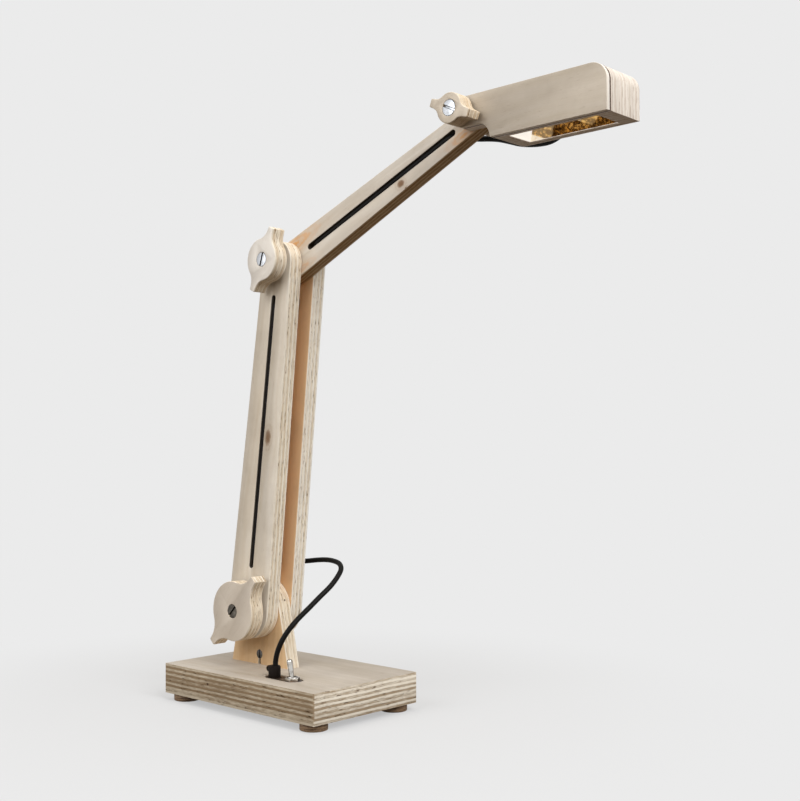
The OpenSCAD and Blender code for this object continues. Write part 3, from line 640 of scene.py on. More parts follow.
@dataclass(frozen=True)
class Plywood(Finish):
    """Birch plywood, sanded and left bare.

    Places and sizes are in millimetres, in the board's seat. The tint on the inner side is painted warm
    bounce light on the face that looks into the gap between the plates, the shaded side is an edge with
    painted shade, the slot's walls get painted shade, and edges above rough_above are coarser.
    """

    seat: Seat
    bottom: float
    thickness: float
    plies: int
    seed: float
    pale: Colour = rgb(214, 203, 187)
    warm: Colour = rgb(198, 182, 159)
    long: Colour = rgb(240, 230, 212)
    end: Colour = rgb(218, 199, 170)
    glue: Colour = rgb(132, 100, 66)
    figure: float = 0.8
    streaks: float = 1.0
    line: float = 0.8
    cross_share: float = 0.5
    rough_above: float = 1000.0
    bounce_tint: Colour | None = None
    bounce_side: float = 1.0
    shade: Colour | None = None
    shade_side: float = 1.0
    slot: tuple[float, float] | None = None
    slot_half: float = 2.0
    slot_shade_margin: float = 0.3
    knots: tuple[OvalMark, ...] = ()
    warm_shadows: tuple[OvalMark, ...] = ()
    pits: tuple[OvalMark, ...] = ()

    def build(self, effects: Effects) -> Material:
        """Builds the material.

        Args:
            effects: The shared effects.

        Returns:
            The material.
        """
        material, g, shader, coordinates = self.start()
        place = g.node("ShaderNodeMapping", vector_type="TEXTURE")
        origin, local = metres(self.seat.origin), place.outputs[0]
        g.put(place, Location=origin, Rotation=self.seat.turn(), Vector=coordinates["Object"])
        facing = g.node("ShaderNodeMapping", vector_type="VECTOR")
        g.put(facing, Rotation=self.seat.turn(-1.0), Vector=coordinates["Normal"])
        _, through, _ = g.split(facing.outputs[0])
        turned = g.math(Op.SIZE, through)
        on_face = g.step(turned, *ON_FACE)
        face, face_colour = self.faces(g, effects, local, through)
        edge, edge_colour = self.edges(g, effects, local, facing.outputs[0])
        colour = g.mix(on_face, edge_colour, face_colour)
        mark = effects.smudge.place(g, Place=local, Seed=self.seed + 5.0)["Mark"]
        colour = g.mix(g.times(mark, 0.16), colour, HANDLED, Blend.TIMES)
        # Painted highlight where the surface turns from face to edge.
        edge_highlight = g.times(g.step(turned, 0.2, 0.6), g.step(turned, 0.7, 0.985, (1.0, 0.0)))
        colour = g.mix(g.times(edge_highlight, 0.28), colour, EDGE_HIGHLIGHT)
        rough = g.between(on_face, edge["Rough"], face["Rough"])
        height = g.between(on_face, edge["Height"], g.times(face["Height"], 0.35))
        g.put(shader, Base_Color=colour, Roughness=g.lift(mark, -0.08, rough), Specular_IOR_Level=0.22)
        self.bump(g, shader, height, depth=0.00022, strength=0.55)
        return material

    def faces(self, g: Graph, effects: Effects, local: Wire, through: Wire) -> tuple[NodeOutputs, Wire]:
        """Paints the board's faces, with their knots, painted warm bounce light on the inner side, and
        painted warm shadows.

        Args:
            g: The material's graph.
            effects: The shared effects.
            local: Place in the board's seat.
            through: How far the surface faces through the board, from -1 to 1.

        Returns:
            The veneer's outputs and the faces' colour.
        """
        bent, masks = local, []
        for knot in self.knots:
            made = knot.place(g, effects, bent)
            bent = made["Bent"]
            masks.append((g.times(made["Ring"], knot.depth), g.times(made["Heart"], knot.depth)))
        veneer = effects.face.place(
            g, Place=bent, Seed=self.seed, Pale=self.pale, Warm=self.warm, Figure=self.figure
        )
        colour = veneer["Color"]
        # Painted light: warm bounce light on the face that looks into the gap between the plates.
        if self.bounce_tint is not None:
            inside = g.step(g.times(through, self.bounce_side), *ON_FACE)
            colour = g.mix(inside, colour, g.mix(0.7, colour, self.bounce_tint))
        # Painted shadow: warm orange patches of shade, drawn with the ring mask of a knot.
        for warm_shadow in self.warm_shadows:
            made = warm_shadow.place(g, effects, local)
            colour = g.mix(g.times(made["Ring"], warm_shadow.depth), colour, WARM_SHADOW)
        for share, tint, (most, *others) in zip((0.6, 0.7), (KNOT_RING, KNOT_HEART), zip(*masks)):
            for other in others:
                most = g.math(Op.MOST, most, other)
            colour = g.mix(g.times(most, share), colour, tint)
        return veneer, colour

    def edges(self, g: Graph, effects: Effects, local: Wire, facing: Wire) -> tuple[NodeOutputs, Wire]:
        """Paints the board's cut edges, with painted shade on the shaded side, painted shade on the slot's
        walls, and the pits.

        Args:
            g: The material's graph.
            effects: The shared effects.
            local: Place in the board's seat.
            facing: The surface's direction in the board's seat.

        Returns:
            The plies' outputs and the edges' colour.
        """
        plies = effects.edge.place(
            g, Place=local, Facing=facing, Bottom=self.bottom * MM, Ply=self.thickness * MM / self.plies,
            Cross_Share=self.cross_share, Streaks=self.streaks, Seed=self.seed, Line=self.line,
            Rough_Above=self.rough_above * MM, Long=self.long, End=self.end, Glue=self.glue,
        )
        colour = plies["Color"]
        if self.shade is not None:
            _, _, up = g.split(facing)
            side = g.math(Op.MOST, g.times(up, self.shade_side), 0.0)
            colour = g.mix(side, colour, g.mix(1.0, colour, self.shade, Blend.TIMES))
        # Painted shade: the slot's walls and ends are darkened nearly to black, for the deep shade inside the
        # slot.
        if self.slot is not None:
            along, _, across = g.split(local)
            middle, half = sum(self.slot) / 2, (self.slot[1] - self.slot[0]) / 2
            inside = g.math(Op.SIZE, g.less(along, middle * MM))
            ends = (half + self.slot_shade_margin) * MM, (half + 2 * self.slot_shade_margin) * MM
            sides = self.slot_half * MM, (self.slot_half + self.slot_shade_margin) * MM
            beyond = g.step(g.math(Op.SIZE, across), *sides, (0.94, 0.0))
            colour = g.mix(g.times(g.step(inside, *ends, (1.0, 0.0)), beyond), colour, SLOT_SHADE)
        for pit in self.pits:
            along, depth, across = g.split(local)
            made = pit.place(g, effects, g.joined(along, across, depth))
            colour = g.mix(g.times(made["Heart"], pit.depth), colour, PIT)
        return plies, colour


@dataclass(frozen=True)
class Metal(Finish):
    """Plain or plated metal with fine wear."""

    clean: Colour
    dull: Colour
    rough: float
    seed: float = 1.0
    relief: float = 0.00003
    rim: float = 0.5
    shade: Colour = rgb(60, 54, 48)
    walls: float = 0.0

    def build(self, effects: Effects) -> Material:
        """Builds the material.

        Args:
            effects: The shared effects.

        Returns:
            The material.
        """
        material, g, shader, coordinates = self.start()
        wear, mark = self.wear(g, effects, coordinates["Object"], self.seed)
        film = g.step(g.lift(mark, 0.3, wear["Film"]), 0.4, 0.8)
        colour = g.mix(film, self.clean, self.dull)
        colour = g.mix(g.times(wear["Scratch"], 0.4), colour, SCRATCHED)
        rim = g.node("ShaderNodeLayerWeight")
        g.put(rim, Blend=0.35)
        rim_share = g.times(g.step(rim.outputs["Facing"], 0.2, 0.6), self.rim)
        colour = g.mix(rim_share, colour, self.shade)
        if self.walls:
            _, through, _ = g.split(coordinates["Normal"])
            wall = g.step(g.math(Op.SIZE, through), 0.45, 0.9, (self.walls, 0.0))
            colour = g.mix(wall, colour, self.shade)
        g.put(shader, Base_Color=colour, Metallic=1.0, Roughness=g.lift(film, 0.16, self.rough))
        self.bump(g, shader, wear["Height"], self.relief, strength=0.4)
        return material


@dataclass(frozen=True)
class Moulded(Finish):
    """Moulded plastic, rubber or nylon."""

    colour: Colour
    worn: Colour
    rough: float
    seed: float = 1.0
    relief: float = 0.00004
    shine: float = 0.5

    def build(self, effects: Effects) -> Material:
        """Builds the material.

        Args:
            effects: The shared effects.

        Returns:
            The material.
        """
        material, g, shader, coordinates = self.start()
        place = coordinates["Object"]
        wear, mark = self.wear(g, effects, place, self.seed)
        grain = g.noise(place, (5200.0, 5200.0, 5200.0), self.seed, 2.0, 0.5)
        share = g.lift(mark, 0.45, g.times(wear["Scratch"], 0.3), clamp=True)
        g.put(
            shader, Base_Color=g.mix(share, self.colour, self.worn), Roughness=g.lift(mark, 0.14, self.rough),
            Specular_IOR_Level=self.shine,
        )
        self.bump(g, shader, g.math(Op.ADD, grain, wear["Height"]), self.relief, strength=0.35)
        return material


@dataclass(frozen=True)
class FootWood(Finish):
    """Brown pressed wood of the feet, in thin layers."""

    colour: Colour = rgb(150, 122, 92)
    dark: Colour = rgb(82, 60, 42)

    def build(self, effects: Effects) -> Material:
        """Builds the material.

        Args:
            effects: The shared effects.

        Returns:
            The material.
        """
        material, g, shader, coordinates = self.start()
        place = coordinates["Object"]
        layers = g.noise(place, (60.0, 60.0, 1500.0), 4.0, 4.0, 0.6)
        fleck = g.noise(place, (900.0, 900.0, 2200.0), 6.0, 3.0, 0.6)
        share = g.step(g.lift(g.less(fleck, 0.5), 0.5, layers), 0.38, 0.66)
        colour = g.mix(share, self.colour, self.dark)
        mark = effects.smudge.place(g, Place=place, Seed=8.0)["Mark"]
        colour = g.mix(g.times(mark, 0.3), colour, self.dark)
        g.put(shader, Base_Color=colour, Roughness=g.lift(share, 0.15, 0.62))
        self.bump(g, shader, layers, depth=0.0003, strength=0.5)
        return material


@dataclass(frozen=True)
class Mirror(Finish):
    """Thin mirror sheet of the light's tray, a little wavy, with painted reflections of the warm wood round
    it and a painted glow.
    """

    bright: Colour = rgb(248, 240, 222)
    warm_reflection: Colour = rgb(192, 160, 112)
    lit: Colour = rgb(228, 222, 218)
    unlit: Colour = rgb(178, 166, 152)
    white: Colour = rgb(238, 235, 230)
    dark_reflection: Colour = rgb(72, 48, 22)
    reflection_glint: Colour = rgb(226, 186, 116)
    seam: float = 316.8

    def build(self, effects: Effects) -> Material:
        """Builds the material.

        Args:
            effects: The shared effects.

        Returns:
            The material.
        """
        material, g, shader, coordinates = self.start()
        place = coordinates["Object"]
        swell = g.noise(place, (90.0, 130.0, 130.0), 2.0)
        blotch = g.step(g.noise(place, (330.0, 420.0, 420.0), 7.0, 3.0, 0.6), 0.45, 0.75)
        along, through, down = g.split(coordinates["Normal"])
        ceiling = g.step(down, -0.97, -0.9, (1.0, 0.0))
        root = g.step(along, 0.2, 0.35)
        near = g.step(through, 0.3, 0.6)
        # Painted reflection: warm blotches of the wood round the tray.
        colour = g.mix(g.times(blotch, 0.35), self.bright, self.warm_reflection)
        # Painted reflection: dark patches with glints, on the near wall and in the upper glow.
        reflection_glint = g.step(g.noise(place, (1100.0, 500.0, 700.0), 9.0, 3.0, 0.6), 0.5, 0.6)
        painted_reflection = g.mix(reflection_glint, self.dark_reflection, self.reflection_glint)
        # Painted light: the ceiling and root faces glow, and are less metal.
        pale = g.math(Op.MOST, ceiling, root)
        ray = g.node("ShaderNodeLightPath").outputs
        _, _, height = g.split(place)
        above = g.step(height, self.seam * MM, (self.seam + 0.6) * MM)
        upper = g.times(above, g.less(1.0, ray["Is Camera Ray"]))
        # Painted glow: lit and unlit blotches on the root, pale white on the ceiling, and above the seam
        # height the painted reflection for rays other than the camera's.
        painted_glow = g.mix(root, g.mix(blotch, self.lit, self.unlit), g.mix(upper, self.white, painted_reflection))
        wear = effects.scratch.place(g, Place=place, Seed=3.0)
        g.put(
            shader, Base_Color=g.mix(near, colour, painted_reflection), Metallic=g.lift(pale, -0.8, 1.0),
            Roughness=g.lift(wear["Film"], 0.1, 0.03), Emission_Color=painted_glow,
            Emission_Strength=g.times(pale, 0.9),
        )
        self.bump(g, shader, swell, depth=0.0002, strength=0.4)
        return material


@dataclass(frozen=True)
class Phosphor(Finish):
    """Yellow face of a light chip."""

    yellow: Colour = rgb(250, 214, 70)
    amber: Colour = rgb(232, 176, 30)

    def build(self, effects: Effects) -> Material:
        """Builds the material.

        Args:
            effects: The shared effects.

        Returns:
            The material.
        """
        material, g, shader, coordinates = self.start()
        place = coordinates["Object"]
        grain = g.noise(place, (4000.0, 4000.0, 4000.0), 2.0, 3.0, 0.6)
        film = effects.scratch.place(g, Place=place, Seed=5.0)["Film"]
        g.put(
            shader, Base_Color=g.mix(g.step(grain, 0.35, 0.7), self.yellow, self.amber),
            Roughness=g.lift(film, 0.2, 0.25), Coat_Weight=0.8, Coat_Roughness=0.08,
        )
        return material


class Shop:
    """Makes, places and dresses pieces."""

    SHARP = math.radians(38)
    EASED = math.radians(36)
    FLAT = math.radians(0.6)
    TOUCHING = 2e-6

    def __init__(self, frame: dict, finishes: dict[str, Material]) -> None:
        """Takes the loaded frame and the finishes.

        Args:
            finishes: The lamp's finishes by name.
        """
        self.nodes = frame["nodes"]
        self.finishes = finishes
        self.slots = {part["node"]: part["material_slot"] for part in frame["record"]["subparts"]}

    def show(self, node: str, ending: str, mesh: Mesh, finish: str) -> Object:
        """Links a mesh into the scene in place of a part, with a finish and smooth faces.

        Args:
            node: The part.
            ending: What the piece's name adds to the part's.
            mesh: The piece's mesh.
            finish: Name of its finish.

        Returns:
            The new object.
        """
        mesh.materials.clear()
        mesh.materials.append(self.finishes[finish])
        mesh.shade_smooth()
        mesh.set_sharp_from_angle(angle=self.SHARP)
        piece = stand(f"{node}_{ending}", mesh)
        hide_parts(node)
        log.info("piece %s, %d faces", piece.name, len(mesh.polygons))
        return piece

    def dress(self, node: str, finish: str) -> None:
        """Gives a carried-over part its finish.

        Args:
            node: The part.
            finish: Name of its finish.
        """
        for slot in self.nodes[node].material_slots:
            slot.material = self.finishes[finish]
        log.info("dressed %s as %s", node, finish)

    def eased(self, node: str, body: str, finish: str, radius: float, segments: int) -> None:
        """Stands in for a part with a copy whose sharp edges are eased.

        Args:
            node: The part.
            body: The body that it rides on.
            finish: Name of its finish.
            radius: Width of the eased edge, in millimetres.
            segments: Steps across the eased edge.
        """
        shape = bmesh.new()
        shape.from_mesh(self.nodes[node].data)
        bmesh.ops.remove_doubles(shape, verts=shape.verts, dist=self.TOUCHING)
        bmesh.ops.dissolve_limit(
            shape, angle_limit=self.FLAT, use_dissolve_boundaries=False, verts=shape.verts, edges=shape.edges
        )
        mesh = bpy.data.meshes.new(f"{node}_eased")
        shape.to_mesh(mesh)
        shape.free()
        piece = self.show(node, "eased", mesh, finish)
        for edge in mesh.edges:
            edge.use_edge_sharp = False
        bevel = piece.modifiers.new("eased_edges", "BEVEL")
        bevel.width = radius * MM
        bevel.segments = segments
        bevel.limit_method = "ANGLE"
        bevel.angle_limit = self.EASED
        bevel.use_clamp_overlap = True
        bevel.harden_normals = True
        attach(piece, body)


@dataclass(frozen=True)
class Softbox:
    """A square lamp: where it hangs and its side in metres, its power in watts and its tint."""

    name: str
    place: Triple
    size: float
    power: float
    tint: Colour

    def hang(self, aim: Triple) -> None:
        """Hangs the lamp.

        Args:
            aim: The point that it faces, in metres.
        """
        data = bpy.data.lights.new(self.name, "AREA")
        data.shape = "SQUARE"
        data.size = self.size
        data.energy = self.power
        data.color = self.tint
        lamp = stand(self.name, data)
        lamp.location = self.place
        lamp.rotation_euler = (Vector(self.place) - Vector(aim)).to_track_quat("Z", "Y").to_euler()


@dataclass(frozen=True)
class Studio:
    """Camera, floor, backdrop light and lamps."""

    eye: Triple = (540.34, -486.48, 159.51)
    yaw: float = 42.66
    frame_pixels: int = 801
    focal_pixels: float = 1193.257
    shift_pixels: float = 41.03
    sensor: float = 36.0
    white: Colour = rgb(235, 235, 235)
    paper: Colour = rgb(205, 205, 205)
    soil: Colour = (0.1, 0.072, 0.048)
    air: Colour = (1.0, 0.9, 0.77)
    air_strength: float = 0.4
    floor_radius: float = 6.0
    shadow: tuple[float, float] = (0.08, 0.32)
    aim: Triple = (0.05, 0.0, 0.17)
    softboxes: tuple[Softbox, ...] = (
        Softbox("key", (1.3, -0.25, 1.15), 1.0, 24.5, (0.96, 0.985, 1.02)),
        Softbox("front", (-0.2, -1.35, 0.85), 1.1, 13.4, (0.955, 0.985, 1.03)),
        Softbox("top", (-0.1, 0.1, 1.5), 1.0, 4.5, (0.97, 0.99, 1.02)),
    )

    def camera(self) -> None:
        """Stands the camera where the photograph was taken."""
        data = bpy.data.cameras.new("camera")
        data.lens = self.sensor * self.focal_pixels / self.frame_pixels
        data.sensor_width = self.sensor
        data.sensor_fit = "AUTO"
        data.shift_y = self.shift_pixels / self.frame_pixels
        data.clip_start = 0.02
        seen = stand("camera", data)
        seen.location = metres(self.eye)
        seen.rotation_euler = (math.radians(90), 0.0, math.radians(self.yaw))
        bpy.context.scene.camera = seen
        log.info("camera placed")

    def light(self) -> None:
        """Gives soft light from all round, and hangs the lamps.

        The camera, gloss and glass see a pale background. Colours stay as they are written.
        """
        world = bpy.data.worlds.new("studio")
        bpy.context.scene.world = world
        world.use_nodes = True
        world.node_tree.nodes.clear()
        g = Graph(world.node_tree)
        air = g.fed("ShaderNodeBackground", self.air, self.air_strength)
        back = g.fed("ShaderNodeBackground", self.white)
        mixed = g.fed("ShaderNodeMixShader", g.seen(), air, back)
        g.put(g.node("ShaderNodeOutputWorld"), Surface=mixed)
        for softbox in self.softboxes:
            softbox.hang(self.aim)
        bpy.context.scene.view_settings.view_transform = "Standard"

    def floor(self) -> None:
        """Lays a pale floor that keeps the lamp's shadow near it and fades into the background."""
        shape = bmesh.new()
        bmesh.ops.create_circle(shape, cap_ends=True, cap_tris=False, segments=96, radius=self.floor_radius)
        mesh = bpy.data.meshes.new("floor")
        shape.to_mesh(mesh)
        shape.free()
        floor = stand("floor", mesh)
        material = bpy.data.materials.new("floor_paper")
        material.use_nodes = True
        material.node_tree.nodes.clear()
        g = Graph(material.node_tree)
        x, y, _ = g.split(g.node("ShaderNodeTexCoord").outputs["Object"])
        far = g.math(Op.ROOT, g.math(Op.ADD, g.times(x, x), g.times(y, y)))
        paper = g.fed("ShaderNodeBsdfDiffuse", self.paper)
        plain = g.fed("ShaderNodeEmission", self.white)
        near = g.fed("ShaderNodeMixShader", g.step(far, *self.shadow, (0.55, 1.0)), paper, plain)
        dark = g.fed("ShaderNodeBsdfDiffuse", self.soil)
        mixed = g.fed("ShaderNodeMixShader", g.seen(), dark, near)
        g.put(g.node("ShaderNodeOutputMaterial"), Surface=mixed)
        mesh.materials.append(material)


@dataclass(frozen=True)
class Stretch:
    """One stretch of the lamp's cable, in millimetres, on one body or from one to the next.

    The blend's numbers are points of the route, where a blend between the bodies would start and end; they
    are not used.
    """

    node: str
    route: Route
    bodies: tuple[str, ...]
    blend: tuple[int, int] = (0, -1)
    seat: Seat = Seat()


@dataclass(frozen=True)
class Cable:
    """The lamp's own cable, in five stretches that join where it passes from one body to the next."""

    radius: float = 1.55
    rounding: int = 5
    steps: int = 5
    clearance: float = 1.7
    gland: Triple = (15.3, -24.6, 22.5)
    rise: Route = ((0.9, 0, 6.5), (0.9, 0, 9), (2.6, 0, 14.7), (5.4, 0.8, 21.1), (7.8, 4.1, 27.5))
    base: Route = (
        (24.9, -15, 55.9), (26.9, -8, 61.9), (28.6, -1, 67.8), (29.9, 6, 73.2), (29.6, 12, 78),
        (27.6, 17.5, 82.4), (23, 20.8, 85.3), (16.4, 22.4, 86.5), (9, 23.2, 86.7), (0.6, 23.4, 86),
        (-6.9, 23, 85), (-13, 21.8, 84.4), (-17, 18.9, 84.3), (-17.9, 15.8, 84.3), (-17.9, 14.35, 84.3),
    )
    elbow: Route = (
        (2.7, 14.35, 245), (2.7, 16.5, 245), (2.9, 19, 246.4), (3.3, 20.4, 249.5), (4.2, 20.6, 255),
        (6.6, 19.8, 261.5), (10.8, 18.6, 267.6), (15.7, 17, 271.7), (20.5, 13.8, 274.2), (23.6, 9.5, 274.6),
        (24, 7, 274.6), (24, 4.7, 274.6),
    )
    head: Route = (
        (134.1, 4.7, 322.3), (134.1, 7.5, 322.3), (134.6, 11.5, 322.4), (136.9, 15, 322.4),
        (141.4, 17.2, 322.1), (147.5, 18, 320.9), (154.5, 18, 318.6), (161.5, 18, 316.2), (168.5, 18, 314.7),
        (175, 18, 314), (181, 18.2, 314.2), (186, 19, 316.4), (189, 20.4, 320.2), (190.3, 20.8, 324.4),
        (190.2, 18.9, 327.2), (190, 15.5, 327.8), (190, 11, 327.8),
    )
    lower: Bend = ((0, 14.35), (0, 6), (0, -4.6), (0.9, -9), (3.8, -11.6), (7.9, -12.3))
    upper: Bend = ((0, 4.7), (0, 3), (0.9, -0.1), (4, -2.2), (8, -2.6))

    def run(self, bend: Bend, slot: tuple[float, float], stretches: int) -> Route:
        """Sets out a straight run in a slot between two bends.

        Args:
            bend: Distance from the run's end and place across, for each point of the bend.
            slot: Where the slot starts and ends along the arm.
            stretches: Number of straight pieces.

        Returns:
            The run's points.
        """
        start, stop = slot[0] + self.clearance, slot[1] - self.clearance
        low, high, side = start + bend[-1][0], stop - bend[-1][0], bend[-1][1]
        return (
            *((start + a, b, 0.0) for a, b in bend),
            *((low + (high - low) * i / stretches, side, 0.0) for i in range(1, stretches)),
            *((stop - a, b, 0.0) for a, b in reversed(bend)),
        )

    def smooth(self, route: Route) -> list[Vector]:
        """Draws a smooth line through the points of a route.

        Args:
            route: The points.

        Returns:
            The points of the smooth line.
        """
        points = [Vector(p) for p in route]
        ends = [points[0] * 2 - points[1], *points, points[-1] * 2 - points[-2]]
        line: list[Vector] = []
        for a, b, c, d in zip(ends, ends[1:], ends[2:], ends[3:]):
            square, cube = 2 * a - 5 * b + 4 * c - d, 3 * b - a - 3 * c + d
            for step in range(self.steps):
                t = step / self.steps
                line.append(0.5 * (2 * b + (c - a) * t + square * t**2 + cube * t**3))
        return [*line, points[-1]]

    def tube(self, shop: Shop, stretch: Stretch) -> tuple[Object, list[Vector]]:
        """Makes one stretch as a closed tube.

        Args:
            shop: Where pieces are made.
            stretch: The stretch.

        Returns:
            The piece and its middle line in metres.
        """
        place = stretch.seat.matrix()
        line = [place @ (p * MM) for p in self.smooth(stretch.route)]
        curve = bpy.data.curves.new(stretch.node, "CURVE")
        curve.dimensions = "3D"
        curve.bevel_depth = self.radius * MM
        curve.bevel_resolution = self.rounding
        curve.use_fill_caps = True
        spline = curve.splines.new("POLY")
        spline.points.add(len(line) - 1)
        for point, here in zip(spline.points, line):
            point.co = (*here, 1.0)
        drawn = stand(stretch.node, curve)
        bpy.context.view_layer.update()
        mesh = bpy.data.meshes.new_from_object(drawn.evaluated_get(bpy.context.evaluated_depsgraph_get()))
        bpy.data.objects.remove(drawn)
        return shop.show(stretch.node, "sheath", mesh, "cable_sheath"), line

    def build(self, shop: Shop) -> None:
        """Args:
            shop: Where pieces are made.
        """
        base = (*(tuple(a + b for a, b in zip(self.gland, point)) for point in self.rise), *self.base)
        lower, upper = self.run(self.lower, LOWER_SLOT, 6), self.run(self.upper, UPPER_SLOT, 5)
        for stretch in (
            Stretch("cable_base_loop", base, ("base", "lower_arm"), (4, -2)),
            Stretch("cable_elbow_loop", self.elbow, ("lower_arm", "upper_arm"), (2, -3)),
            Stretch("cable_head_loop", self.head, ("upper_arm", "head"), (2, -3)),
            Stretch("cable_lower_run", lower, ("lower_arm",), seat=LOWER_SEAT),
            Stretch("cable_upper_run", upper, ("upper_arm",), seat=UPPER_SEAT),
        ):
            piece, line = self.tube(shop, stretch)
            if len(stretch.bodies) == 1:
                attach(piece, *stretch.bodies)
                continue
            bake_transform(piece)


@dataclass(frozen=True)
class Part:
    """A part with its finish and body, and its eased edges' width in millimetres and steps.

    A part whose edges stay as they are has no width.
    """

    node: str
    finish: str
    edge: float = 0.0
    body: str = ""
    steps: int = 2


@dataclass(frozen=True)
class Assembly:
    """Parts that are made and dressed together, on one body where they name no other."""

    body: str
    parts: tuple[Part, ...]

    def build(self, shop: Shop) -> None:
        """Makes the parts whose edges are eased, and dresses the others.

        Args:
            shop: Where pieces are made.
        """
        for part in self.parts:
            if part.edge:
                shop.eased(part.node, part.body or self.body, part.finish, part.edge, part.steps)
            else:
                shop.dress(part.node, part.finish)


@dataclass(frozen=True)
class BaseBoard(Assembly):
    """The base board with its feet, weight and cover, and the upright on it."""

    body: str = "base"
    parts: tuple[Part, ...] = (
        Part("base_plate", "ply_base", 0.5, steps=3),
        Part("upright", "ply_upright", 0.35),
        Part("feet", "foot_wood", 0.45),
        Part("steel_weight", "dark_steel", 0.4),
        Part("bottom_cover", "black_plastic", 0.2),
        Part("power_inlet", "black_plastic", 0.2),
        Part("foot_screws", "zinc", 0.12),
        Part("cover_screws", "zinc", 0.12),
        Part("upright_bolt", "burnt_steel", 0.12),
        Part("barrel_nut", "dark_steel", 0.12),
    )


@dataclass(frozen=True)
class Switch(Assembly):
    """The toggle switch and the cable gland, with their plate."""

    body: str = "base"
    parts: tuple[Part, ...] = (
        Part("switch_plate", "bronze", 0.25),
        Part("switch_body", "black_plastic"),
        Part("switch_neck", "chrome", 0.15),
        Part("switch_nut", "chrome", 0.2),
        Part("switch_lever", "chrome", 0.1, "switch_lever"),
        Part("cable_gland", "black_rubber", 0.35, steps=3),
    )


@dataclass(frozen=True)
class Arms(Assembly):
    """The two jointed arms."""

    body: str = "lower_arm"
    parts: tuple[Part, ...] = (
        Part("lower_plate_near", "ply_lower_near", 0.4),
        Part("lower_plate_far", "ply_lower_far", 0.4),
        Part("upper_plate", "ply_upper", 0.4, "upper_arm"),
        Part("arm_nuts", "zinc", 0.25),
        Part("arm_washers", "nylon", 0.15),
        Part("arm_slips", "black_plastic"),
    )


@dataclass(frozen=True)
class Head(Assembly):
    """The layered head with its light."""

    body: str = "head"
    parts: tuple[Part, ...] = (
        Part("head_cover", "ply_cover", 0.4),
        # A spacer sheet between the cover and the core, coloured dark; its edge paints the shadow line of the
        # gap there.
        Part("head_shim", "shadow_gap_layer"),
        Part("head_cheek_near", "ply_cheek_near", 0.12),
        Part("head_core", "ply_core", 0.12),
        Part("head_cheek_far", "ply_cheek_far", 0.3),
        Part("head_nut", "zinc", 0.25),
        Part("head_washer", "nylon", 0.15),
        Part("head_slips", "black_plastic"),
        Part("reflector", "mirror_sheet"),
        Part("light_board", "board_white"),
        Part("light_chips", "chip_yellow", 0.2),
    )


@dataclass(frozen=True)
class Knob(Assembly):
    """A wing knob and its screw, which turn together."""

    @classmethod
    def of(cls, joint: str, screw: str) -> Knob:
        """Returns the knob of a joint, with its screw's finish."""
        knob = f"{joint}_knob"
        return cls(knob, (Part(knob, f"ply_{knob}", 0.4), Part(f"{joint}_screw", screw, 0.3)))


